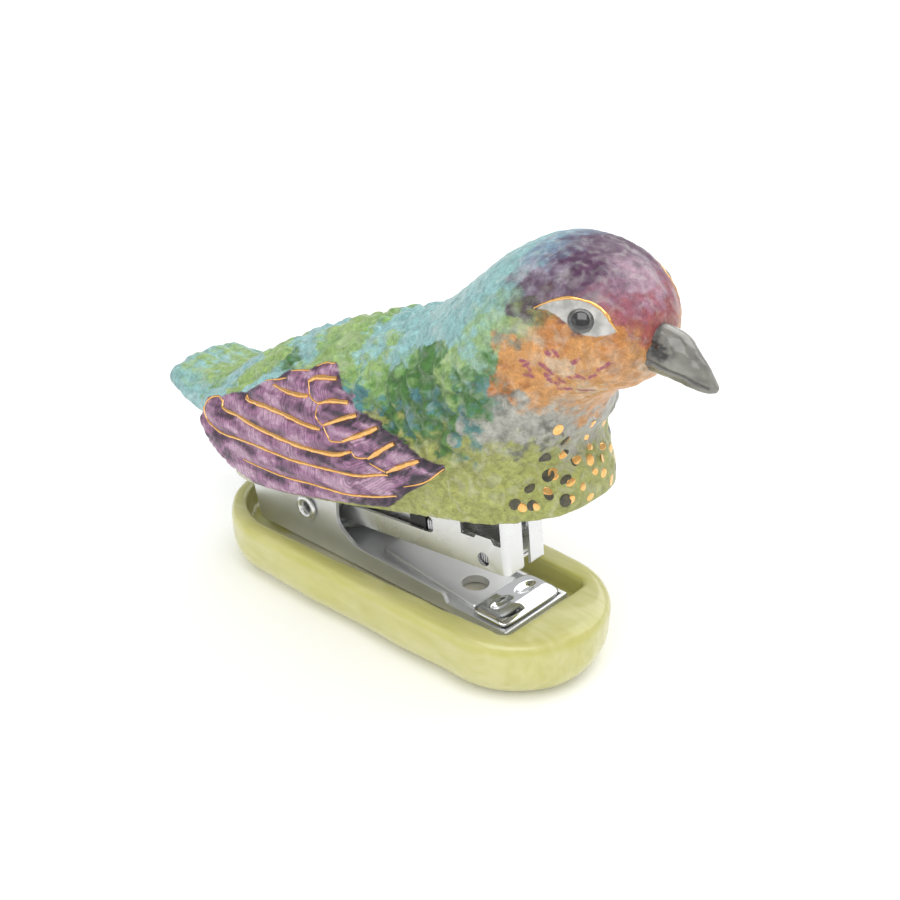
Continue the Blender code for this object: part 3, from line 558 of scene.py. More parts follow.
def broken_edges(node_name, width, segments=3, angle=35.0):
    """A copy of a CAD plate with its sharp edges rounded, as a plain mesh."""
    bm = bmesh.new()
    bm.from_mesh(frame["nodes"][node_name].data)
    bmesh.ops.remove_doubles(bm, verts=bm.verts, dist=0.004 * MM)
    limit = math.radians(1.0)
    bmesh.ops.dissolve_limit(bm, angle_limit=limit, verts=bm.verts, edges=bm.edges)
    sharp = [e for e in bm.edges if e.is_manifold and e.calc_face_angle() > math.radians(angle)]
    bmesh.ops.bevel(
        bm, geom=sharp, offset=width * MM, segments=segments, profile=0.5, affect="EDGES",
        clamp_overlap=True, offset_type="OFFSET",
    )
    bmesh.ops.triangulate(bm, faces=bm.faces)
    bmesh.ops.recalc_face_normals(bm, faces=bm.faces)
    mesh = bpy.data.meshes.new(node_name + "_plate")
    bm.to_mesh(mesh)
    bm.free()
    mesh.shade_smooth()

    def set_up(obj):
        weighted = obj.modifiers.new("weighted", "WEIGHTED_NORMAL")
        weighted.weight = 100

    return evaluated(mesh, set_up)


print("edges are rounded by:", broken_edges.__name__)

# %% The three main plates
for node_name, body, width, finish, slot_name in (
    ("base_frame", "base", 0.16, SATIN, "steel"),
    ("magazine_channel", "magazine", 0.14, STEEL, "steel"),
    ("handle_channel", "bird", 0.12, STEEL, "steel"),
):
    mesh = broken_edges(node_name, width)
    plate = bpy.data.objects.new(node_name + "_plate", mesh)
    bpy.context.scene.collection.objects.link(plate)
    mesh.materials.clear()
    mesh.materials.append(finish)
    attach(plate, body)
    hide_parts(node_name)
    print(node_name, "faces:", len(mesh.polygons))

# %% [markdown]
# ## The anvil pad and the pivot eyelet
# The anvil is a thick chromed pad. Its rear edge is tight, its front rolls away in a long
# curve, and two long dimples in its top curl the staple legs. It is a height written over
# nested rounded outlines, which keeps chrome reflections clean. The pivot is a hollow
# eyelet, so its rolled head is a section turned about the pin's axis.

# %% Anvil pad
ANVIL_X, ANVIL_HALF, ANVIL_LOW, ANVIL_TOP = (20.7, 28.9), 7.85, 10.55, 11.6
ANVIL_LEDGE = 0.12
DIMPLE_X, DIMPLE_Y, DIMPLE_REACH, DIMPLE_DEPTH = 24.2, 3.2, (1.25, 2.5), 0.45
TENON = [(21.3, 9.75), (28.3, 9.75), (28.3, 10.56), (21.3, 10.56)]
TENON_HALF = 7.1


def roll(distance, radius):
    """A quarter round: 0 on the edge, 1 once radius mm inside it."""
    t = np.clip(distance / radius, 0, 1)
    return np.sqrt(1 - (1 - t) ** 2)


def make_anvil():
    """Rows of the pad follow rounded outlines, one inside the next, so no corner is sharp."""
    around, rings, round_power = 160, 60, 6.0
    middle = sum(ANVIL_X) / 2
    half = (ANVIL_X[1] - ANVIL_X[0]) / 2
    angle = np.linspace(0, 2 * np.pi, around, endpoint=False)
    reach = np.abs(np.cos(angle)) ** round_power + np.abs(np.sin(angle)) ** round_power
    reach = reach ** (-1 / round_power)
    nested = np.sin(np.linspace(0, np.pi / 2, rings + 1)[1:][::-1])
    points = []
    for t in nested:
        x, y = half * t * reach * np.cos(angle), ANVIL_HALF * t * reach * np.sin(angle)
        points.append(np.stack([x, y], axis=1))
    flat = np.vstack(points)
    size = np.repeat(nested, around)
    rise = roll((1 - size) * half, 1.0) * (1 - 0.5 * ease(flat[:, 0], 0.6, half) ** 1.5)
    away = ((flat[:, 0] + middle - DIMPLE_X) / DIMPLE_REACH[0]) ** 2
    away += ((np.abs(flat[:, 1]) - DIMPLE_Y) / DIMPLE_REACH[1]) ** 2
    bowl = DIMPLE_DEPTH * ease(1.2 - away, 0, 1.2)
    ledge = ANVIL_LOW + ANVIL_LEDGE
    height = ledge + (ANVIL_TOP - ANVIL_LOW - ANVIL_LEDGE) * rise - bowl
    upper = np.column_stack([flat[:, 0] + middle, flat[:, 1], height])
    foot = upper[:around] * (1, 1, 0) + (0, 0, ANVIL_LOW)
    pad = np.vstack([foot, upper])
    tenon_points, tenon_faces = prism(TENON, -TENON_HALF, TENON_HALF)
    faces = ring_faces(rings + 1, around)
    faces += [tuple(k + len(pad) for k in face) for face in tenon_faces]
    return outward(mesh_of("anvil_pad", np.vstack([pad, tenon_points]), faces))


anvil = new_object("anvil_pad", make_anvil(), "base", CHROME, "chrome")
anvil.data.set_sharp_from_angle(angle=math.radians(50))
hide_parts("anvil_plate")
print("anvil faces:", len(anvil.data.polygons))

# %% Pivot eyelet
PIVOT = Vector((-18.5, 0.0, 16.0))
EYELET_REACH = 8.6
ROLLED_HEAD = [
    (0.95, -0.9), (1.0, -0.3), (1.15, 0.1), (1.4, 0.38), (1.7, 0.5), (2.05, 0.46),
    (2.35, 0.3), (2.45, 0.12), (2.42, 0.0), (1.5, 0.0),
]


def make_eyelet():
    """The head's section, as (radius, height past the ear), turned about the pivot."""
    around = 64
    side = [(radius, EYELET_REACH + height) for radius, height in ROLLED_HEAD]
    profile = side + [(radius, -height) for radius, height in side[::-1]]
    points = []
    for angle in np.linspace(0, 2 * np.pi, around, endpoint=False):
        for radius, height in profile:
            x = PIVOT.x + radius * math.cos(angle)
            points.append((x, height, PIVOT.z + radius * math.sin(angle)))
    count = len(profile)
    faces = []
    for turn in range(around):
        a, b = turn * count, (turn + 1) % around * count
        for i in range(count):
            j = (i + 1) % count
            faces.append((a + i, a + j, b + j, b + i))
    return outward(mesh_of("pivot_eyelet", points, faces))


eyelet = new_object("pivot_eyelet", make_eyelet(), "base", STEEL, "steel")
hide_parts("pivot_rivet")
print("eyelet faces:", len(eyelet.data.polygons))

# %% [markdown]
# ## Geometry Nodes for things that repeat
# Three small node groups make what repeats. One bends a wire staple and lines up copies of
# it. One lays a bead along a path and is used for the gilding. One sets flattened drops
# on the breast. Each is built here with named inputs, is given its values by socket
# identifier, and is turned into a plain mesh at the end.

# %% Geometry Nodes helpers


class Growth(Tree):
    """A Geometry Nodes group with short ways to add nodes."""

    def __init__(self, name, **inputs):
        self.tree = bpy.data.node_groups.new(name, "GeometryNodeTree")
        face = self.tree.interface
        face.new_socket("Geometry", in_out="INPUT", socket_type="NodeSocketGeometry")
        face.new_socket("Geometry", in_out="OUTPUT", socket_type="NodeSocketGeometry")
        self.ids = {}
        for label, (kind, value) in inputs.items():
            socket = face.new_socket(label, in_out="INPUT", socket_type="NodeSocket" + kind)
            if kind != "Material":
                socket.default_value = value
            self.ids[label] = socket.identifier
        self.given = self.tree.nodes.new("NodeGroupInput").outputs
        self.end = self.tree.nodes.new("NodeGroupOutput")

    def named(self, name, kind="FLOAT"):
        made = self.node("GeometryNodeInputNamedAttribute", {"Name": name}, data_type=kind)
        return made.outputs["Attribute"]

    def close(self, geometry):
        solid = self.node("GeometryNodeRealizeInstances", {"Geometry": geometry}).outputs[0]
        finish = self.given["Finish"]
        made = self.node("GeometryNodeSetMaterial", {"Geometry": solid, "Material": finish})
        self.tree.links.new(made.outputs[0], self.end.inputs[0])

    def grow(self, name, mesh, body, finish, slot, **values):
        """Runs the group on a mesh and returns the plain object it makes."""

        def set_up(obj):
            modifier = obj.modifiers.new(name, "NODES")
            modifier.node_group = self.tree
            modifier[self.ids["Finish"]] = finish
            for label, value in values.items():
                modifier[self.ids[label]] = value

        made = new_object(name, evaluated(mesh, set_up), body, finish, slot)
        print(name, "faces:", len(made.data.polygons))
        return made


print("repeating pieces are made with:", Growth.__name__)

# %% [markdown]
# ## A strip of staples
# Mini staples are round wire pressed nearly square and glued side by side. A single staple is
# an arch of three straight runs with small corners. Repeating it at the wire's pitch gives
# the fine ribbing that shows through the slots of the magazine.

# %% Staple sizes
STAPLE_PITCH, STAPLE_COUNT, STAPLE_WIRE = 0.506, 34, 0.47
CROWN_HALF, CROWN_HEIGHT, LEG_END, STRIP_FRONT = 4.1, 3.6 - 0.25, -1.25, 43.9 - 0.25
MAGAZINE_PITCH = 6.2
HANDLE_PITCH = 14.4


def turned_frame(pitch):
    """Turns a place in the magazine's or handle's own frame into one in the room, in mm."""
    return Matrix.Translation(PIVOT) @ Matrix.Rotation(-math.radians(pitch), 4, "Y")


print("strip length in mm:", round(STAPLE_PITCH * STAPLE_COUNT, 1))

# %% Staple strip


def staple_group():
    """Bends a wire along the given arch and copies it along a straight row."""
    group = Growth(
        "staple_row", Count=("Int", STAPLE_COUNT), Step=("Vector", (0, 0, 0)),
        Wire=("Float", STAPLE_WIRE * MM), Finish=("Material", None),
    )
    given = group.given
    line = group.node("GeometryNodeMeshLine", {"Count": given["Count"], "Offset": given["Step"]})
    arch = group.node("GeometryNodeMeshToCurve", {"Mesh": given["Geometry"]})
    profile = group.node(
        "GeometryNodeCurvePrimitiveQuadrilateral", {"Width": given["Wire"], "Height": given["Wire"]}
    )
    wire = group.node(
        "GeometryNodeCurveToMesh",
        {"Curve": arch.outputs[0], "Profile Curve": profile.outputs[0], "Fill Caps": True},
    )
    row = group.node(
        "GeometryNodeInstanceOnPoints", {"Points": line.outputs[0], "Instance": wire.outputs[0]}
    )
    group.close(row.outputs[0])
    return group


def make_staples():
    to_room = turned_frame(MAGAZINE_PITCH)
    half, high = CROWN_HALF, CROWN_HEIGHT
    arch = [(-half, LEG_END), (-half, high - 0.4), (-half + 0.12, high - 0.12)]
    arch += [(-half + 0.4, high)]
    arch += [(-y, z) for y, z in arch[::-1]]
    places = [to_room @ Vector((STRIP_FRONT, y, z)) * MM for y, z in arch]
    mesh = bpy.data.meshes.new("arch")
    mesh.from_pydata(places, [(i, i + 1) for i in range(len(places) - 1)], [])
    back = (to_room.to_3x3() @ Vector((-STAPLE_PITCH, 0, 0))) * MM
    return staple_group().grow(
        "staple_wires", mesh, "magazine", WIRE, "staple_wire", Step=back, Wire=STAPLE_WIRE * MM
    )


staples = make_staples()
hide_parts("staple_strip")

# %% [markdown]
# ## The bird's clay body
# The bird starts as two lofts: a long body whose upright sections follow the back and the
# belly, and a head whose sections lean forward along the neck. Melting them together and
# smoothing the join gives one clean breast line, as a sculptor's thumb would.

# %% Bird sections
TORSO = [
    (-57.4, 31.8, 28.4, 6.6), (-54.4, 33.4, 27.2, 9.4), (-49.5, 33.1, 26.4, 10.4),
    (-44.0, 33.9, 25.6, 11.8), (-39.0, 37.0, 23.4, 13.0), (-35.5, 39.8, 19.0, 13.8),
    (-30.0, 43.0, 13.0, 15.9), (-22.0, 47.9, 9.0, 17.4), (-10.0, 53.9, 8.0, 18.4),
    (2.0, 58.8, 8.0, 18.6), (12.0, 61.0, 9.0, 18.2), (21.0, 59.0, 12.0, 17.6),
    (29.0, 55.0, 17.0, 16.0), (34.4, 50.5, 22.0, 14.0), (38.2, 46.8, 27.0, 11.0),
    (40.7, 44.0, 31.5, 7.8), (42.0, 41.5, 35.0, 4.0),
]
HEAD = [
    (2.0, 58.4, 24.0, 22.0, 18.2), (10.5, 64.0, 33.5, 35.0, 17.8), (17.5, 70.3, 36.6, 44.0, 17.0),
    (24.5, 76.8, 38.9, 51.3, 15.2), (32.0, 80.9, 42.8, 57.4, 13.5), (39.5, 81.3, 47.0, 60.3, 12.0),
    (45.0, 79.4, 50.2, 62.6, 9.6), (48.6, 76.6, 51.2, 66.2, 6.9), (51.0, 74.3, 51.8, 69.0, 3.8),
]
BEAK = [
    (46.0, 71.8, 44.5, 65.4, 3.4), (50.0, 71.9, 48.5, 64.4, 3.5), (52.4, 71.7, 50.8, 63.7, 3.4),
    (56.2, 70.5, 54.4, 63.6, 2.9), (59.9, 67.0, 58.0, 63.2, 1.9), (61.6, 65.2, 60.6, 63.3, 1.15),
    (62.2, 64.4, 61.9, 63.7, 0.5),
]
SHELL, HOLLOW_REAR, HOLLOW_FRONT = 3.0, -36.0, 39.0


def torso_sections(inset=0.0, rear=-99.0, front=99.0):
    return [
        (x, top - inset, x, low - inset * 3, half - inset)
        for x, top, low, half in TORSO if rear <= x <= front
    ]


print("sections of body, head and beak:", len(TORSO), len(HEAD), len(BEAK))

# %% [markdown]
# ## Wings in low relief
# The wings lie flat on the sides, so they are raised from the same skin. The outline lifts
# the skin a little over a millimetre, more at the rear where the wing tips stand clear of the
# tail. Each feather is a soft pillow between two gilded lines. The paths below are the
# lines of one wing seen from its side, as (x, z) in millimetres.

# %% Wing drawing
WING_OUTLINE = [
    (-38.2, 30.0), (-36.4, 35.2), (-32.6, 36.6), (-29.2, 38.6), (-25.4, 39.9), (-21.7, 43.0),
    (-18.0, 44.9), (-15.7, 47.0), (-10.0, 49.1), (-7.6, 50.9), (-4.2, 52.2), (-3.3, 51.9),
    (-0.1, 50.3), (2.3, 49.2), (4.9, 47.8), (9.2, 48.0), (14.0, 47.0), (18.0, 46.4),
    (19.7, 45.0), (24.4, 45.1), (24.4, 44.3), (20.1, 40.0), (16.7, 37.1), (12.9, 33.2),
    (7.2, 31.4), (1.2, 29.8), (-5.2, 28.0), (-11.2, 26.2), (-20.2, 24.2), (-28.1, 24.6),
    (-35.0, 27.0),
]
LONG_LINES = [
    [(-32.2, 36.0), (-31.0, 34.9), (-25.0, 35.5), (-18.2, 36.0), (-13.2, 36.5), (-7.6, 37.1),
     (-2.4, 38.0), (1.4, 39.0), (4.5, 40.6)],
    [(-25.2, 39.5), (-24.6, 38.9), (-18.9, 40.0), (-12.1, 40.9), (-7.7, 41.2), (-3.1, 41.8)],
    [(-18.3, 43.7), (-13.7, 44.3), (-9.7, 45.2), (-7.9, 45.8)],
    [(-37.6, 32.8), (-35.6, 30.9), (-30.3, 30.5), (-22.7, 32.0), (-16.4, 32.9), (-11.2, 33.5),
     (-7.5, 34.1), (-2.3, 35.1), (2.6, 36.0), (6.6, 36.9), (10.8, 38.6), (13.0, 39.3)],
    [(-24.0, 28.0), (-17.8, 28.7), (-12.4, 29.4), (-6.0, 30.7), (-1.3, 31.5), (3.3, 32.2),
     (7.6, 33.4), (11.1, 34.6), (14.8, 36.1)],
]
SHORT_LINES = [
    [(-9.1, 47.7), (-6.9, 49.0), (-2.1, 50.4)], [(-5.0, 45.6), (-1.7, 47.1), (2.3, 48.2)],
    [(-2.4, 42.9), (1.6, 45.3), (4.8, 47.0)], [(2.4, 41.7), (6.8, 44.5), (9.9, 46.7)],
    [(8.4, 40.7), (11.6, 43.5), (14.3, 45.7)], [(12.6, 39.7), (16.4, 42.4), (19.6, 44.4)],
]
FINE_LINES = [
    [(-37.4, 32.6), (-36.0, 35.0), (-33.4, 36.2), (-31.8, 35.4)],
    [(-20.8, 43.6), (-18.0, 44.7), (-15.4, 45.9)],
    [(-15.3, 47.0), (-12.6, 48.1), (-10.0, 48.9)], [(-8.6, 50.1), (-6.5, 51.3), (-4.2, 52.0)],
    [(16.3, 38.4), (20.5, 40.6), (24.2, 44.3)], [(-9.1, 47.7), (-7.4, 45.9), (-5.0, 45.6)],
    [(-4.8, 45.4), (-4.7, 43.4), (-2.4, 42.6)], [(-2.4, 42.5), (-0.5, 40.9), (2.4, 41.5)],
    [(4.5, 40.6), (5.7, 40.0), (8.4, 40.8)], [(8.8, 40.0), (12.3, 39.6)],
]
print("gold lines on one wing:", len(LONG_LINES) + len(SHORT_LINES) + len(FINE_LINES))

# %% [markdown]
# ## One skin, cut along the rim
# The two lofts melt into one skin on a coarse grid first, because a coarse grid smooths the
# neck best. The wings are lifted, the underside is cut off along the handle's slope, and a
# second, finer melt gives the skin enough points to carry feathers.

# %% Clay skin
RIM_RISE, RIM_DROP, RIM_DROP_START, RIM_DROP_END = 7.57, 2.0, 42.0, 62.0
SWING_RADIUS, SWING_HALF = 15.6, 9.3
COARSE_VOXEL, FINE_VOXEL = 0.8, 0.4
WING_LIFT, TIP_LIFT = 1.25, 1.6


def rim_cutter():
    """Everything under the bird's lower rim, which follows the handle's pitch."""
    line = [(-60, RIM_RISE)]
    for x in np.linspace(RIM_DROP_START - 4, RIM_DROP_END, 12):
        line.append((x, RIM_RISE - RIM_DROP * ease(x, RIM_DROP_START - 4, RIM_DROP_END + 4)))
    line += [(92, RIM_RISE - RIM_DROP), (92, -80), (-60, -80)]
    to_room = turned_frame(HANDLE_PITCH)
    outline = [to_room @ Vector((x, 0, z)) for x, z in line]
    return mesh_of("rim", *prism([(p.x, p.z) for p in outline], -60, 60))


def side_places(points):
    """The points seen from the side, as (x, z)."""
    return points[:, [0, 2]]


def make_clay():
    """The bird as one even skin with raised wings and a cut rim."""
    shapes = [loft(torso_sections(), 90, 80, 2.3), loft(HEAD, 50, 80, 2.1)]
    points, faces = melted(shapes, COARSE_VOXEL)
    points = smoothed(points, faces, 22)
    plain = smoothed(points, faces, 30)
    front = ease(points[:, 0], 24, 32) * (1 - ease(points[:, 2], 60, 66))
    points += (plain - points) * front[:, None]
    normals = normals_of(points, faces)
    low_breast = ease(points[:, 2], 31, 37) * (1 - ease(points[:, 2], 42, 48))
    neck = np.exp(-(((points[:, 2] - 50.2) / 2.2) ** 2))
    points -= normals * ((1.5 * low_breast - 0.7 * neck) * ease(points[:, 0], 29, 38))[:, None]
    inside = inside_distance(side_places(points), WING_OUTLINE)
    lift = WING_LIFT + TIP_LIFT * (1 - ease(points[:, 0], -38, -26))
    sideways = ease(np.abs(normals[:, 1]), 0.15, 0.4)
    points += normals * (lift * ease(inside, -0.5, 0.5) * sideways)[:, None]
    body = cut(mesh_of("clay", points, faces), [rim_cutter()])
    points, faces = melted([arrays_of(body)], FINE_VOXEL)
    return smoothed(points, faces, 2), faces


clay_points, clay_faces = make_clay()
print("clay faces:", len(clay_faces))

# %% [markdown]
# ## Feathers pressed into the skin
# The porcelain is carved before it is fired: pillows between the lines of the wing, small
# scales on the shoulder, long ribs on the tail and only a soft down on the head and the
# breast. Each is a height, and masks with soft steps say where it counts. The heights then
# push every point of the skin along its own normal.

# %% Relief
SCALE_SIZE, SCALE_STRETCH = 3.2, (0.8, 1, 1)


def above_rim(points):
    """Height above the plane of the rim, in mm."""
    pitch = math.radians(HANDLE_PITCH)
    away = points - np.array(PIVOT)
    return away[:, 2] * math.cos(pitch) - away[:, 0] * math.sin(pitch) - RIM_RISE


def relief(points, normals):
    """How far each point is pushed out to draw feathers, in mm."""
    side = side_places(points)
    inside = inside_distance(side, WING_OUTLINE)
    wing = ease(inside, -0.3, 0.3) * ease(np.abs(normals[:, 1]), 0.1, 0.3)
    groove = np.minimum.reduce([path_distance(side, line) for line in LONG_LINES + SHORT_LINES])
    edge = np.minimum.reduce([path_distance(side, line) for line in FINE_LINES])
    pillow = 0.55 * ease(np.minimum(groove, edge + 0.2), 0.0, 1.9) - 0.25
    barbs = np.sin((side[:, 1] * 2.6 - side[:, 0] * 3.4) + rough(points, 4.0, 1) * 7)
    pillow += 0.07 * barbs * ease(groove, 0.3, 1.2) + 0.1 * rough(points, 1.6, 3)
    head = ease(points[:, 2], 58, 66)
    tail = 1 - ease(points[:, 0], -38, -30)
    belly = (1 - ease(points[:, 2], 40, 52)) * ease(points[:, 0], 8, 18)
    belly = np.maximum(belly, ease(points[:, 0], 29, 34) * (1 - ease(points[:, 2], 60, 66)))
    near, gap, _ = cells(points * SCALE_STRETCH, SCALE_SIZE)
    scales = 0.6 * ease(gap, 0.0, 0.45) - 0.35 * near + 0.25 * rough(points, 2.4, 2)
    lumps = scales * (1 - head) * (1 - tail) * (1 - 0.7 * belly)
    down = 0.13 * rough(points * (1, 1, 1.6), 1.3, 4) + 0.1 * rough(points, 3.5, 2)
    fan = points[:, 1] * (1 + 0.02 * (points[:, 0] + 50))
    fan = fan + 0.6 * rough(points * (0.3, 1, 1), 5.0, 1)
    ribs = 0.45 * np.abs(np.sin(fan * 0.75)) + 0.1 * np.sin(fan * 4.2)
    ribs += 0.12 * rough(points * (0.2, 1, 1), 1.6, 2)
    body = lumps + down * (0.4 + 0.6 * head) + (ribs - 0.35) * tail
    return (body * (1 - wing) + pillow * wing) * ease(above_rim(points), 0.2, 2.2)


clay_normals = normals_of(clay_points, clay_faces)
clay_points = clay_points + clay_normals * relief(clay_points, clay_normals)[:, None]
clay_points = smoothed(clay_points, clay_faces, 1)
SURFACE = BVHTree.FromPolygons(clay_points.tolist(), clay_faces)
print("highest point of the clay in mm:", round(clay_points[:, 2].max(), 1))

# %% [markdown]
# ## Painting by hand
# A china painter works wet daubs of colour into one another. The same is done here. Each
# anchor is a place and a colour, and every point of the skin takes its colour from the
# anchors near it. The place that a point asks about is first drawn towards the middle of a
# small random cell, so colours land in daubs, and is then shaken by noise, so daubs get
# ragged edges. Both sides of the bird share the same anchors.

# %% Palette
PALETTE = {
    # The pale lilac on the crown is a painted highlight, standing in for a broad soft reflection in
    # the glaze.
    "turquoise": (0.26, 0.47, 0.47), "slate": (0.20, 0.30, 0.40), "lilac_highlight": (0.42, 0.37, 0.45),
    "plum": (0.07, 0.02, 0.065), "mauve": (0.36, 0.22, 0.29), "rose": (0.30, 0.075, 0.105),
    "red": (0.33, 0.06, 0.05), "orange": (0.56, 0.27, 0.085), "amber": (0.44, 0.14, 0.025),
    "leaf": (0.28, 0.42, 0.14), "green": (0.06, 0.17, 0.035), "teal": (0.08, 0.23, 0.24),
    "pearl": (0.36, 0.355, 0.31), "smoke": (0.09, 0.095, 0.08), "lime": (0.33, 0.35, 0.10),
    "sand": (0.52, 0.50, 0.36), "moss": (0.20, 0.36, 0.10), "peach": (0.58, 0.41, 0.26),
}
SPREAD = {
    "turquoise": 2.8, "lime": 4.0, "orange": 2.4, "pearl": 2.4, "smoke": 1.3, "plum": 2.6,
    "lilac_highlight": 1.5, "green": 2.3, "leaf": 2.1, "teal": 1.6, "mauve": 2.2,
}
USUAL_SPREAD = 1.9
WING_PLUM, WING_INK, WING_PALE = (0.31, 0.15, 0.26), (0.03, 0.02, 0.034), (0.58, 0.40, 0.51)
STROKE_COLOUR, PATCH_WHITE, PATCH_GREY = (0.28, 0.05, 0.12), (0.60, 0.59, 0.56), (0.34, 0.34, 0.32)
BARE_CLAY, THIN_GLAZE = (0.66, 0.64, 0.56), (0.66, 0.68, 0.62)
print("colours on the palette:", len(PALETTE))

# %% Where each colour sits
ANCHORS = {
    "turquoise": [
        (23, 7, 74), (21, 13, 67), (28, 8, 77), (22, 10, 71), (28, 5, 78), (27, 15, 65),
        (30, 12, 74), (18, 10, 67), (2, 6, 58), (6, 4, 60), (15, 7, 66), (1, 10, 55), (14, 11, 63),
        (-16, 8, 49), (-52, 9, 32), (-20, 15, 43), (9, 12, 57), (12, 0, 65), (20, 0, 72),
        (28, 0, 79), (4, 0, 60), (-56, 5, 30), (-56, 0, 31), (-48, 11, 30), (-38, 13, 34),
        (-22, 2, 48), (-35, 8, 38),
    ],
    "slate": [(35, 5, 81), (32, 4, 80), (34, 7, 80), (33, 0, 81)],
    # Painted highlight: pale lilac daubs on the crown, where the glaze carries a soft reflection.
    "lilac_highlight": [(36, 8, 79), (39, 10, 78), (33, 9, 78), (45, 3, 79), (34, 11, 77)],
    "plum": [
        (37, 4, 81), (41, 8, 79), (42, 5, 80), (42, 1, 81), (41, 10, 77), (35, 12, 76),
        (45, 6, 78), (45, 4, 79), (37, 12, 75), (38, 0, 81), (43, 9, 78), (34, 13, 75),
    ],
    "mauve": [(47, 1, 78), (49, 2, 76), (47, 3, 77), (46, 6, 78), (47, 0, 78), (45, 0, 80)],
    "rose": [
        (49, 5, 75), (50, 2, 73), (49, 7, 74), (51, 2, 72), (47, 7, 76), (50, 5, 72), (50, 4, 73),
        (50, 0, 74), (46, 8, 77),
    ],
    "red": [(51, 2, 72), (51, 3, 71)],
    "orange": [
        (41, 12, 72), (36, 14, 68), (44, 12, 69), (48, 10, 71), (51, 5, 70), (40, 11, 60),
        (38, 13, 64), (41, 7, 58), (37, 12, 60), (47, 9, 65), (50, 6, 64), (35, 14, 67),
        (45, 10, 66), (51, 4, 68), (50, 7, 69), (44, 4, 60), (48, 0, 62), (42, 0, 57),
        (40, 2, 55), (51, 0, 66),
    ],
    "peach": [(46, 9, 67), (42, 12, 66), (49, 6, 67), (44, 8, 61), (38, 13, 69), (50, 2, 65)],
    "amber": [(42, 12, 71), (49, 9, 70), (50, 7, 68), (33, 15, 62), (40, 13, 71)],
    "leaf": [
        (31, 13, 72), (28, 15, 67), (24, 16, 63), (35, 14, 71), (28, 16, 64), (23, 17, 59),
        (-14, 3, 52), (-15, 6, 51), (-2, 9, 55), (-10, 1, 54), (-8, 9, 53), (-10, 11, 50),
        (4, 9, 57), (-1, 14, 53), (5, 13, 54), (-49, 2, 35), (-29, 5, 43), (-31, 10, 40),
        (-49, 6, 34), (-8, 6, 54), (-44, 0, 36), (-24, 9, 45), (-40, 4, 37),
    ],
    "green": [
        (38, 13, 73), (31, 16, 63), (28, 17, 60), (24, 17, 56), (24, 17, 54), (29, 17, 56),
        (26, 17, 51), (23, 18, 46), (18, 15, 60), (13, 15, 55), (20, 17, 57), (22, 17, 53),
        (26, 17, 60), (17, 15, 58), (21, 18, 48), (9, 15, 54), (14, 16, 52), (-18, 11, 47),
    ],
    "moss": [
        (-42, 11, 34), (-41, 7, 36), (-50, 9, 33), (-30, 2, 44), (-5, 3, 56), (12, 14, 58),
        (0, 16, 52), (8, 15, 51), (-12, 8, 52),
    ],
    "teal": [
        (28, 17, 57), (27, 17, 53), (31, 16, 60), (25, 17, 53), (29, 17, 51), (27, 17, 48),
        (34, 14, 69), (17, 16, 54), (11, 17, 49), (6, 16, 49), (24, 18, 52), (18, 18, 50),
        (2, 16, 50), (-54, 9, 29),
    ],
    "pearl": [
        (35, 13, 56), (39, 9, 57), (37, 11, 53), (39, 5, 53), (38, 4, 46), (38, 4, 49),
        (39, 1, 47), (39, 0, 51), (32, 15, 52),
    ],
    "smoke": [(34, 14, 58), (32, 15, 55), (37, 8, 49), (33, 14, 52), (37, 9, 53), (35, 12, 50)],
    "lime": [
        (32, 14, 46), (26, 16, 40), (33, 13, 43), (36, 11, 44), (38, 5, 44), (41, 3, 44),
        (42, 0, 40), (40, 7, 42), (25, 17, 42), (22, 17, 40), (18, 18, 35), (38, 8, 36),
        (30, 15, 36), (41, 0, 36), (10, 18, 30), (24, 17, 36),
    ],
    "sand": [(-30, 15, 24), (-20, 17, 22), (-38, 11, 24), (-10, 18, 22), (-47, 6, 26)],
}
print("colour anchors:", sum(len(places) for places in ANCHORS.values()))

# %% Brush strokes on the cheek, and the white round the eye
STROKES = [
    [(x - 0.6 * c, z - 0.6 * s), (x + 0.6 * c, z + 0.6 * s)] for x, z, c, s in (
        (41.3, 68.3, 0.6, -0.7), (40.5, 67.7, 0.7, -0.5), (36.6, 65.6, 1.0, -0.2),
        (37.0, 64.8, 0.8, -0.5), (39.4, 65.6, 0.9, -0.4), (40.2, 64.8, 0.7, -0.7),
        (37.2, 63.4, 0.9, 0.1), (39.8, 63.7, 0.4, -0.8), (40.2, 62.8, 0.8, -0.5),
        (41.5, 63.2, 0.5, -0.8), (44.3, 67.4, 0.8, 0.6), (47.6, 66.5, 0.8, 0.6),
        (48.3, 67.2, 0.7, 0.7), (43.5, 64.2, 1.0, 0.1), (44.6, 64.5, 0.8, -0.3),
        (41.4, 61.3, 1.1, 0.0), (43.9, 61.2, 1.2, 0.0), (46.2, 64.8, 0.7, 0.5),
    )
]
EYE_PATCH = [
    (37.4, 74.1), (39.2, 74.3), (41.4, 73.7), (43.3, 72.8), (45.1, 71.8), (46.8, 71.6),
    (48.2, 71.9), (49.0, 72.4), (48.0, 73.8), (46.2, 75.4), (44.2, 76.2), (42.0, 76.3),
    (39.9, 75.7), (38.4, 74.9),
]
print("strokes on each cheek:", len(STROKES))

# %% Colour of each point
DAUB_SIZE, CHUNK = 2.3, 8000


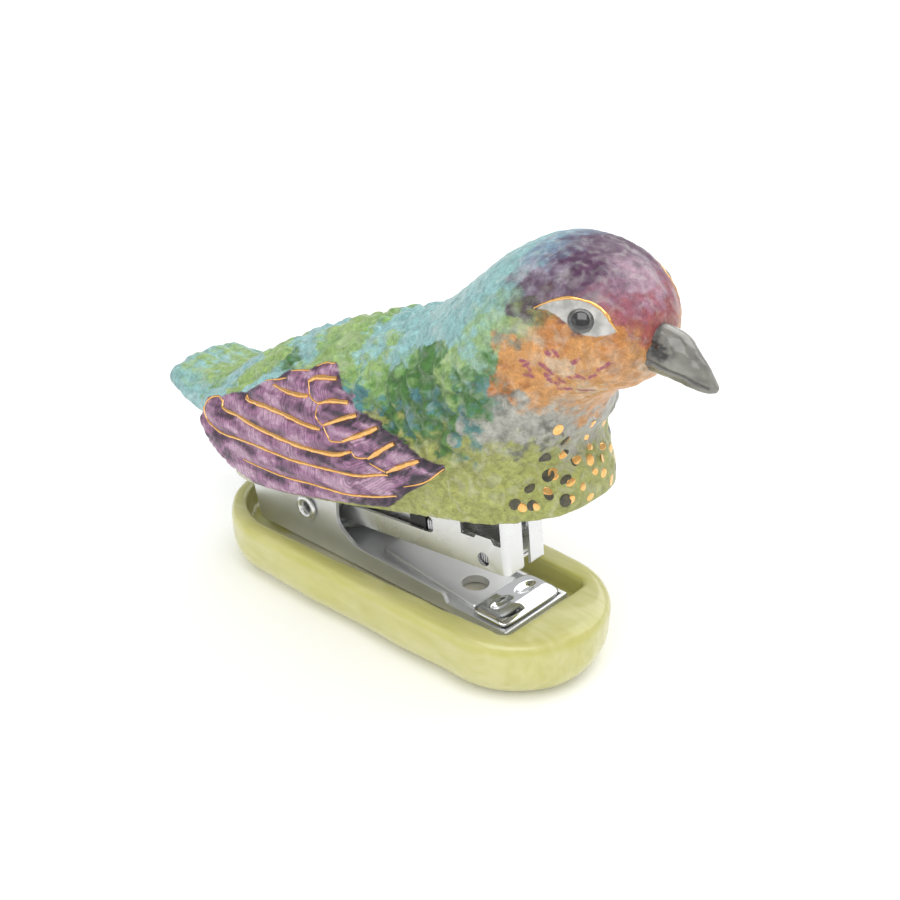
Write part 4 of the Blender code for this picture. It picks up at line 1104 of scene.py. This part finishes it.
def paint_of(points):
    """The painted colour at each point, before the finer shading that the finish adds."""
    names = [name for name, places in ANCHORS.items() for _ in places]
    anchors = np.array([p for places in ANCHORS.values() for p in places], float)
    colours = np.array([PALETTE[name] for name in names])
    reach = np.array([SPREAD.get(name, USUAL_SPREAD) for name in names])
    _, _, middle = cells(points, DAUB_SIZE)
    tail = (1 - ease(points[:, 0], -40, -32))[:, None]
    plumage = (1 - ease(points[:, 2] - 0.5 * points[:, 0], 44, 52)) * ease(points[:, 0], -40, -30)
    plumage *= ease(points[:, 2] - 0.15 * points[:, 0], 38, 42) * (1 - ease(points[:, 0], 25, 31))
    asked = points + (middle - points) * 0.8 * (1 - tail)
    jump = np.sin(middle * (37.1, 51.7, 43.3) + middle[:, [1, 2, 0]] * 17.7)
    asked = asked + jump * (0.5 + 2.8 * plumage[:, None]) * (1 - tail)
    shake = np.stack([rough(points + k * 31.0, 1.9, 4) for k in range(3)], axis=1)
    asked = asked + shake * 2.2
    asked[:, 1] = np.abs(asked[:, 1])
    stretch = np.concatenate([1 - 0.65 * tail, 1 + 0.3 * tail, 1 + 0 * tail], axis=1)
    crisp = 3.5 - 2.0 * ease(points[:, 2], 66, 74)
    found = np.empty((len(points), 3))
    for start in range(0, len(points), CHUNK):
        part = slice(start, start + CHUNK)
        offset = (asked[part, None, :] - anchors[None]) * stretch[part, None, :]
        score = (offset**2).sum(2) / (2 * reach**2)
        weight = np.exp(-crisp[part, None] * (score - score.min(1, keepdims=True)))
        found[part] = (weight @ colours) / weight.sum(1, keepdims=True)
    # Painted shade: points in the narrow gaps between the raised shoulder scales are darkened, as
    # shade would lie in those valleys, and as paint pools there too.
    _, scale_gap, _ = cells(points * SCALE_STRETCH, SCALE_SIZE)
    darkening = 1 - 0.3 * plumage * (1 - ease(scale_gap, 0.0, 0.35))
    return found * darkening[:, None]


def wing_paint(points):
    """Pale plum clouds, with painted shadow under each raised gold line and ink towards the
    shoulder.
    """
    side = side_places(points)
    lines = np.minimum.reduce([path_distance(side, line) for line in LONG_LINES + SHORT_LINES])
    along = np.stack([side[:, 0] * 0.35, points[:, 1], side[:, 1] * 1.3], axis=1)
    cloud = rough(along, 2.4, 4)
    # Painted shadow: a dark band just under each raised gold line, where the bead would cast its
    # shade.
    below = side + (0, 0.85)
    shade = np.minimum.reduce([path_distance(below, line) for line in LONG_LINES + SHORT_LINES])
    edge = inside_distance(side, WING_OUTLINE)
    hatch = np.sin(side[:, 1] * 2.6 - side[:, 0] * 3.4 + rough(points, 4.0, 1) * 7)
    forward = ease(side[:, 0], -6, 10)
    rim = (1 - ease(edge, 0.2, 1.3 + 1.2 * forward)) * (0.25 + 0.6 * forward)
    dark = 0.45 * np.exp(-((shade / 0.55) ** 2)) * (0.4 + 0.6 * forward) + rim + 0.05 * hatch
    dark = ease(cloud * 0.8 + dark + 0.12 * np.exp(-((lines / 0.8) ** 2)), 0.06, 0.62)
    front = forward * 0.3 * ease(hatch + cloud, 0.1, 0.9)
    pale = ease(-cloud + 0.06 * hatch, 0.02, 0.4) * 0.6 * (1 - front)
    dark = np.clip(dark * 0.85 + front, 0, 1)
    tone = np.array(WING_PLUM) + (np.array(WING_PALE) - WING_PLUM) * pale[:, None]
    return tone + (np.array(WING_INK) - tone) * dark[:, None]


sample = paint_of(clay_points[:CHUNK:400])
print("mean colour of a few points:", sample.mean(0).round(2).tolist())

# %% [markdown]
# ## The hollow bird and its glaze
# The bird is a shell, so that it can sit over the handle: a smaller loft and a disc round the
# pivot are cut away from inside. The colours and the masks are then stored on its points,
# and the finish reads them and adds what is finer than the points: speckle, feather barbs,
# ragged brush edges and the thin places in the glaze.

# %% Bird mesh


def make_bird():
    sections = torso_sections(SHELL, HOLLOW_REAR, HOLLOW_FRONT)
    hollow = mesh_of("hollow", *loft(sections, 40, 48, 2.3))
    to_room = turned_frame(HANDLE_PITCH)
    disc = [to_room @ Vector((SWING_RADIUS * math.cos(a), 0, SWING_RADIUS * math.sin(a)))
            for a in np.linspace(0, 2 * np.pi, 72, endpoint=False)]
    swing = mesh_of("swing", *prism([(p.x, p.z) for p in disc], -SWING_HALF, SWING_HALF))
    mesh = cut(mesh_of("bird_glazed", clay_points, clay_faces), [hollow, swing])
    points, _ = arrays_of(mesh)
    depth = np.array([SURFACE.find_nearest(p)[3] for p in points.tolist()])
    inner = ease(depth, 0.05, 0.4)
    side = side_places(points)
    set_field(mesh, "paint", paint_of(points))
    set_field(mesh, "wing_paint", wing_paint(points))
    beside = np.abs(points[:, 1]) - 7.0
    set_field(mesh, "wing", np.minimum(inside_distance(side, WING_OUTLINE), beside))
    set_field(mesh, "eye_patch", np.minimum(inside_distance(side, EYE_PATCH), beside + 1.5))
    strokes = np.minimum.reduce([path_distance(side, stroke) for stroke in STROKES])
    set_field(mesh, "stroke", np.maximum(strokes, -beside))
    forward = ease(side[:, 0], -3, 5)
    across, along = side[:, 0] * 1.7 + side[:, 1] * 0.8, side[:, 1] * 1.8 - side[:, 0] * 1.3
    set_field(mesh, "vein", across + (along - across) * forward + rough(points, 3.0, 2) * 0.9)
    set_field(mesh, "bare", inner)
    return mesh


bird_mesh = make_bird()
print("bird faces:", len(bird_mesh.polygons))

# %% Bird glaze


def bird_finish():
    finish = Finish("bird_glaze", coat=0.35, coat_roughness=0.2)
    paint = finish.attribute("paint", "Color")
    fine = finish.spread(finish.noise(0.42, 3.0, distortion=1.2), 0.3, 0.7, 0.8, 1.2)
    wash = finish.spread(finish.noise(1.5, 5.0, distortion=0.8), 0.3, 0.7, 0.72, 1.22)
    wash = finish.maths("MULTIPLY", wash, fine)
    bright = finish.node("ShaderNodeHueSaturation", {"Value": wash, "Color": paint}).outputs[0]
    thin = finish.spread(finish.noise(2.4, 5.0, distortion=0.8), 0.5, 0.75, 0.0, 0.3)
    colour = finish.mix(thin, bright, THIN_GLAZE)
    barbs = finish.node(
        "ShaderNodeTexNoise", {"W": finish.attribute("vein"), "Scale": 1.3, "Detail": 4.0},
        noise_dimensions="1D",
    ).outputs["Fac"]
    barbs = finish.maths("MULTIPLY", finish.spread(barbs, 0.35, 0.65, 0.68, 1.25), wash)
    feather = finish.node("ShaderNodeHueSaturation", {
        "Value": barbs, "Color": finish.attribute("wing_paint", "Color"),
    }).outputs[0]
    ragged = finish.spread(finish.noise(1.1, 3.0), 0.0, 1.0, -0.3, 0.3)
    wing = finish.maths("ADD", finish.attribute("wing"), ragged)
    colour = finish.mix(finish.spread(wing, -0.12, 0.12), colour, feather)
    smudge = finish.spread(finish.noise(0.7, 3.0), 0.3, 0.7, -0.2, 0.2)
    stroke = finish.maths("ADD", finish.attribute("stroke"), smudge)
    colour = finish.mix(finish.spread(stroke, 0.42, 0.12, 0.0, 0.85), colour, STROKE_COLOUR)
    half_ragged = finish.maths("MULTIPLY", ragged, 0.5)
    patch = finish.maths("ADD", finish.attribute("eye_patch"), half_ragged)
    grey = finish.spread(finish.noise(2.0, 3.0), 0.35, 0.65)
    white = finish.mix(grey, PATCH_WHITE, PATCH_GREY)
    colour = finish.mix(finish.spread(patch, -0.1, 0.1), colour, white)
    colour = finish.mix(finish.attribute("bare"), colour, BARE_CLAY)
    finish.bump(finish.noise(0.55, 4.0), 0.06, 0.6)
    worn = finish.spread(finish.noise(3.0, 4.0), 0.35, 0.7, 0.4, 0.6)
    finish.shader.inputs["Specular IOR Level"].default_value = 0.3
    return finish.set(Base_Color=colour, Roughness=worn)


bird = new_object("bird_glazed", bird_mesh, "bird", bird_finish(), "porcelain_blue")
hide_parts("bird_body")
print("bird finish:", bird.data.materials[0].name)

# %% [markdown]
# ## The beak
# The beak is a separate small skin, finer than the body, so that the line of the mouth stays
# crisp. Its glaze is grey, nearly black round the nostril and along the mouth.

# %% Beak
MOUTH = [
    (50.0, 67.2), (51.8, 66.9), (53.1, 66.5), (55.0, 66.1), (57.4, 65.8), (59.3, 65.1),
    (61, 64.6),
]
NOSTRIL = [(51.2, 69.6), (52.6, 68.9), (53.6, 68.7)]
BEAK_VOXEL = 0.26


def make_beak():
    points, faces = melted([loft(BEAK, 60, 48, 2.0)], BEAK_VOXEL)
    points = smoothed(points, faces, 6)
    normals = normals_of(points, faces)
    side = side_places(points)
    beside = ease(np.abs(normals[:, 1]), 0.1, 0.35)
    mouth = np.exp(-((path_distance(side, MOUTH) / 0.28) ** 2)) * beside
    nostril = np.exp(-((path_distance(side, NOSTRIL) / 0.5) ** 2)) * beside
    lower = 0.12 * ease(66.0 - side[:, 1] - (side[:, 0] - 52) * 0.12, 0.0, 0.6)
    points += normals * (rough(points, 3.0, 2) * 0.2 - 0.3 * mouth - 0.2 * nostril - lower)[:, None]
    mesh = mesh_of("beak_glazed", points, faces)
    along = points[:, 0] + rough(points, 1.5, 3) * 2.0 - 0.25 * (points[:, 2] - 68)
    base = 1 - ease(along, 50.3, 53.2)
    stain = np.exp(-((path_distance(side, NOSTRIL) / 1.6) ** 2))
    stain = stain * (1.0 + 1.4 * rough(points, 0.9, 3))
    ink = np.clip(np.maximum.reduce([mouth, nostril, 0.75 * base, stain]), 0, 1)
    set_field(mesh, "ink", ink)
    return mesh


def beak_finish():
    finish = Finish("beak_glaze", coat=0.8, coat_roughness=0.08)
    cloud = finish.spread(finish.noise(2.6, 4.0, (2, 1, 1)), 0.35, 0.68)
    colour = finish.mix(cloud, (0.27, 0.265, 0.23), (0.12, 0.115, 0.10))
    colour = finish.mix(finish.attribute("ink"), colour, (0.018, 0.018, 0.017))
    finish.bump(finish.noise(0.6, 3.0, (4, 1, 1)), 0.03, 0.5)
    worn = finish.spread(finish.noise(2.0, 3.0), 0.3, 0.7, 0.24, 0.4)
    return finish.set(Base_Color=colour, Roughness=worn)


beak = new_object("beak_glazed", make_beak(), "bird", beak_finish(), "porcelain_blue")
print("beak faces:", len(beak.data.polygons))

# %% [markdown]
# ## The eyes
# Each eye is a drop of black enamel on a slightly larger grey ring. Both are low domes laid
# on the skin and turned to its slope.

# %% Enamels and gold


def enamel(name, colour, other, rough_low, rough_high, metallic=0.0, coat=1.0):
    """A finish for what is laid on the glaze in small drops."""
    finish = Finish(name, metallic=metallic, coat=coat)
    cloud = finish.spread(finish.noise(0.8, 4.0), 0.35, 0.65)
    finish.bump(finish.noise(0.5, 3.0), 0.02)
    worn = finish.spread(finish.noise(1.2, 3.0), 0.3, 0.7, rough_low, rough_high)
    return finish.set(Base_Color=finish.mix(cloud, colour, other), Roughness=worn)


BLACK = enamel("black_enamel", (0.008, 0.008, 0.009), (0.02, 0.02, 0.02), 0.1, 0.2)
GREY = enamel("grey_enamel", (0.05, 0.05, 0.048), (0.12, 0.12, 0.115), 0.2, 0.35)
OLIVE = enamel("olive_enamel", (0.028, 0.028, 0.014), (0.08, 0.072, 0.03), 0.3, 0.5, coat=0.4)
GOLD = enamel("gold_lustre", (0.93, 0.56, 0.21), (0.86, 0.44, 0.12), 0.12, 0.28, 1.0, 0.3)
print("drops are finished in:", [m.name for m in (BLACK, GREY, OLIVE, GOLD)])

# %% Eyes
EYE = (44.4, 10.6, 73.7)


def skin_place(x, y, z):
    """The nearest place on the bird's skin, and the way it faces."""
    place, normal, _, _ = SURFACE.find_nearest(Vector((x, y, z)))
    return place, normal


def domes(name, width, height, rise, sink, finish):
    """A low dome on each side of the head, sunk a little into the skin."""
    bm = bmesh.new()
    for side in (1, -1):
        place, normal = skin_place(EYE[0], side * EYE[1], EYE[2])
        across = Vector((1, side * -0.25, -0.12)).cross(normal).normalized()
        along = normal.cross(across)
        turn = Matrix((along, across, normal)).transposed().to_4x4()
        size = Matrix.Diagonal((width / 2, height / 2, rise, 1))
        move = Matrix.Translation(place - normal * sink)
        matrix = Matrix.Scale(MM, 4) @ move @ turn @ size
        bmesh.ops.create_uvsphere(bm, u_segments=32, v_segments=16, radius=1.0, matrix=matrix)
    bmesh.ops.recalc_face_normals(bm, faces=bm.faces)
    mesh = bpy.data.meshes.new(name)
    bm.to_mesh(mesh)
    bm.free()
    made = new_object(name, mesh, "bird", finish, "porcelain_blue")
    print(name, "faces:", len(made.data.polygons))


domes("eye_rings", 4.0, 3.7, 0.5, 0.12, GREY)
domes("eye_pupils", 3.3, 3.1, 0.75, 0.16, BLACK)

# %% [markdown]
# ## Gilding
# Bright gold is the last firing. It is laid with a loaded brush, so a line starts thin, swells
# and ends in a small round drop. Each line's points carry a half width, and the
# node group sweeps a round bead along them, half sunk in the glaze.

# %% Bead group
BROW = [
    (36.9, 74.0), (38.2, 74.9), (39.8, 75.8), (41.6, 76.4), (43.3, 76.4), (45.0, 76.0),
    (46.6, 75.1), (47.8, 74.0), (49.0, 72.3),
]


def bead_group():
    group = Growth(
        "gold_bead", Sides=("Int", 10), Step=("Float", 0.0002), Finish=("Material", None)
    )
    given = group.given
    line = group.node("GeometryNodeMeshToCurve", {"Mesh": given["Geometry"]})
    even = group.node(
        "GeometryNodeResampleCurve", {"Curve": line.outputs[0], "Length": given["Step"]},
        mode="LENGTH",
    )
    ring = group.node("GeometryNodeCurvePrimitiveCircle", {"Resolution": given["Sides"]})
    bead = group.node("GeometryNodeCurveToMesh", {
        "Curve": even.outputs[0], "Profile Curve": ring.outputs[0],
        "Scale": group.named("half_width"), "Fill Caps": True,
    })
    group.close(bead.outputs[0])
    return group


BEAD = bead_group()
print("bead group inputs:", list(BEAD.ids))

# %% Gold lines laid on the skin
LINE_STEP = 0.45


def line_on_skin(path, side, count):
    """A side-view path laid on the bird's skin from one side."""
    laid = []
    for x, z in spline_through(path, count):
        hit = SURFACE.ray_cast(Vector((x, side * 60, z)), Vector((0, -side, 0)))
        if hit[0] is not None:
            laid.append((hit[0], hit[1]))
    return laid


def gold_mesh(paths):
    """Edges for both sides of the bird. Each path is (points, half width)."""
    places, edges, widths = [], [], []
    for path, half in paths:
        length = sum(math.dist(a, b) for a, b in zip(path, path[1:]))
        for side in (1, -1):
            laid = line_on_skin(path, side, max(6, int(length / LINE_STEP)))
            start = len(places)
            for index, (place, normal) in enumerate(laid):
                t = index / (len(laid) - 1)
                swell = 0.55 + 0.45 * min(1, 3 * t) - 0.35 * max(0, t - 0.9) * 10
                wobble = 1 + 0.35 * noise.noise(Vector((place.x, place.y + 40, place.z)) * 0.45)
                half_here = half * swell * wobble
                places.append((place - normal * half_here * 0.35) * MM)
                widths.append(half_here * MM)
            edges += [(i, i + 1) for i in range(start, len(places) - 1)]
    mesh = bpy.data.meshes.new("gold_paths")
    mesh.from_pydata(places, edges, [])
    set_field(mesh, "half_width", np.array(widths))
    return mesh


GOLD_PATHS = [(path, 0.52) for path in LONG_LINES[:2]] + [(LONG_LINES[2], 0.5)]
GOLD_PATHS += [(LONG_LINES[3], 0.34), (LONG_LINES[4], 0.26)]
GOLD_PATHS += [(path, 0.55) for path in SHORT_LINES]
GOLD_PATHS += [(path, 0.19) for path in FINE_LINES] + [(BROW, 0.26)]
BEAD.grow("gold_lines", gold_mesh(GOLD_PATHS), "bird", GOLD, "porcelain_blue")

# %% [markdown]
# ## Dots on the breast
# The breast is dotted with two passes of the brush: dark olive first, then gold partly over
# it. A node group puts a low drop on each place, turned to the skin and stretched a little
# at random from a fixed seed.

# %% Where the dots are
DOTS = {
    "gold": [
        (38.5, 0.6, 50.5), (36.9, 5.9, 47.7), (37.6, 0.5, 47.8), (37.7, -4.7, 49.3),
        (38.9, 0.9, 46.0), (39.3, 4.0, 45.1), (39.3, -3.3, 45.3), (40.3, -0.4, 44.5),
        (40.6, 3.5, 43.7), (41.5, 0.3, 42.4), (41.8, 2.7, 41.3), (41.8, -3.0, 41.3),
        (42.0, -1.0, 38.2), (38.6, -7.6, 44.3), (40.7, -5.5, 42.6), (37.9, -4.9, 46.4),
        (38.9, -9.4, 41.7), (41.5, -6.0, 39.5), (36.0, -12.6, 39.0), (37.6, -11.2, 39.1),
        (37.9, -7.1, 52.2), (41.6, 5.4, 38.6), (39.6, 7.6, 43.0), (38.4, 9.4, 40.4),
    ],
    "olive": [
        (37.6, -5.2, 49.6), (37.8, -4.5, 46.9), (36.4, -7.9, 46.5), (39.2, -3.7, 45.1),
        (38.0, -8.5, 44.2), (40.2, -6.3, 43.1), (36.5, -11.4, 42.4), (39.0, -9.3, 41.2),
        (41.0, -6.9, 39.6), (35.2, -13.2, 39.5), (37.4, -11.7, 39.4), (36.6, 9.6, 45.0),
        (36.4, 12.0, 41.8), (37.4, 11.2, 38.6), (39.4, 8.2, 39.4),
    ],
}
print("dots:", {name: len(places) for name, places in DOTS.items()})

# %% Drop group


def drop_group():
    """Sets an uneven flattened drop on each point, turned to the way the skin faces."""
    group = Growth(
        "set_drops", Radius=("Float", 0.0007), Flatness=("Float", 0.22), Uneven=("Float", 0.3),
        Length=("Float", 1.0), Seed=("Int", 4), Finish=("Material", None),
    )
    given = group.given
    drop = group.node(
        "GeometryNodeMeshIcoSphere", {"Radius": given["Radius"], "Subdivisions": 4}
    )
    low = group.node("ShaderNodeMath", {0: 1.0, 1: given["Uneven"]}, operation="SUBTRACT")
    high = group.node("ShaderNodeMath", {0: 1.0, 1: given["Uneven"]}, operation="ADD")
    pair = []
    for offset in (0.0, 7.0):
        seed = group.node("ShaderNodeMath", {0: given["Seed"], 1: offset}, operation="ADD")
        drawn = group.node(
            "FunctionNodeRandomValue", {2: low.outputs[0], 3: high.outputs[0], 8: seed.outputs[0]},
            data_type="FLOAT",
        )
        pair.append(drawn.outputs[1])
    long_way = group.node("ShaderNodeMath", {0: pair[0], 1: given["Length"]}, operation="MULTIPLY")
    size = group.node(
        "ShaderNodeCombineXYZ", {0: long_way.outputs[0], 1: pair[1], 2: given["Flatness"]}
    )
    turn = group.node(
        "FunctionNodeAlignRotationToVector", {"Vector": group.named("facing", "FLOAT_VECTOR")},
        axis="Z",
    )
    placed = group.node("GeometryNodeInstanceOnPoints", {
        "Points": given["Geometry"], "Instance": drop.outputs[0], "Rotation": turn.outputs[0],
        "Scale": size.outputs[0],
    })
    group.close(placed.outputs[0])
    return group


DROPS = drop_group()
print("drop group inputs:", list(DROPS.ids))

# %% Dots on the skin


def drop_mesh(places, sink):
    """Bare points sunk a little into the skin, each with the way it faces."""
    found = [skin_place(*place) for place in places]
    mesh = bpy.data.meshes.new("drop_places")
    mesh.from_pydata([(place - normal * sink) * MM for place, normal in found], [], [])
    facing = mesh.attributes.new("facing", "FLOAT_VECTOR", "POINT")
    facing.data.foreach_set("vector", np.array([n for _, n in found], float).ravel())
    return mesh


DROPS.grow(
    "olive_dots", drop_mesh(DOTS["olive"], 0.04), "bird", OLIVE, "porcelain_blue",
    Radius=0.92 * MM, Flatness=0.1, Uneven=0.28, Length=1.0, Seed=4,
)
DROPS.grow(
    "gold_dots", drop_mesh(DOTS["gold"], 0.02), "bird", GOLD, "porcelain_blue",
    Radius=0.78 * MM, Flatness=0.11, Uneven=0.3, Length=1.05, Seed=9,
)

# %% [markdown]
# ## The studio
# Glazed ware is shown under broad soft lights, so the glaze carries long calm highlights.
# A large key light hangs high in front, to the bird's right. A second one on its left
# lights the chrome and the far side, and a weak one low on the right fills the shade. The
# floor is a pale sheet that glows a little, so it stays white all round.

# %% Floor


FLOOR_HALF = 3


def make_floor():
    half = FLOOR_HALF
    corners = [(-half, -half, 0), (half, -half, 0), (half, half, 0), (-half, half, 0)]
    mesh = bpy.data.meshes.new("floor")
    mesh.from_pydata(corners, [], [(0, 1, 2, 3)])
    floor = bpy.data.objects.new("floor", mesh)
    bpy.context.scene.collection.objects.link(floor)
    finish = Finish("floor_paper")
    paper = finish.mix(finish.noise(60.0, 3.0), (0.93, 0.93, 0.93), (0.9, 0.9, 0.9))
    finish.shader.inputs["Roughness"].default_value = 0.8
    finish.shader.inputs["Emission Color"].default_value = (1.0, 1.0, 1.0, 1.0)
    finish.shader.inputs["Emission Strength"].default_value = 0.12
    mesh.materials.append(finish.set(Base_Color=paper))


make_floor()
print("floor is", 2 * FLOOR_HALF, "m wide")

# %% Lights


def stage_light(name, place, aim, size, power):
    light = bpy.data.lights.new(name, "AREA")
    light.shape = "RECTANGLE"
    light.size, light.size_y = size
    light.energy = power
    lamp = bpy.data.objects.new(name, light)
    lamp.location = place
    lamp.rotation_euler = (Vector(aim) - Vector(place)).to_track_quat("-Z", "Y").to_euler()
    bpy.context.scene.collection.objects.link(lamp)
    print(name, "light of", power, "W")


world = bpy.data.worlds.new("studio")
bpy.context.scene.world = world
world.use_nodes = True
world.node_tree.nodes["Background"].inputs[0].default_value = (1.0, 1.0, 1.0, 1.0)
world.node_tree.nodes["Background"].inputs[1].default_value = 0.58
stage_light("key", (0.25, -0.32, 0.80), (0, 0, 0.03), (0.8, 0.8), 5.0)
stage_light("back", (0.0, 0.62, 0.62), (0, 0, 0.03), (0.9, 0.6), 3.0)
stage_light("front", (-0.30, -0.80, 0.30), (0, 0, 0.02), (0.7, 0.4), 0.5)

# %% Camera
AZIMUTH, ELEVATION, DISTANCE = math.radians(42.0), math.radians(29.0), 0.330
TARGET = Vector((-0.011, 0.0225, 0.018))
back = Vector((
    math.sin(AZIMUTH) * math.cos(ELEVATION), -math.cos(AZIMUTH) * math.cos(ELEVATION),
    math.sin(ELEVATION),
))
camera_data = bpy.data.cameras.new("camera")
camera_data.sensor_width = 36.0
camera_data.lens = 68.51
camera = bpy.data.objects.new("camera", camera_data)
camera.location = TARGET + back * DISTANCE
camera.rotation_euler = back.to_track_quat("Z", "Y").to_euler()
bpy.context.scene.collection.objects.link(camera)
bpy.context.scene.camera = camera
bpy.context.scene.view_settings.view_transform = "Standard"
print("camera lens in mm:", round(camera_data.lens, 1))
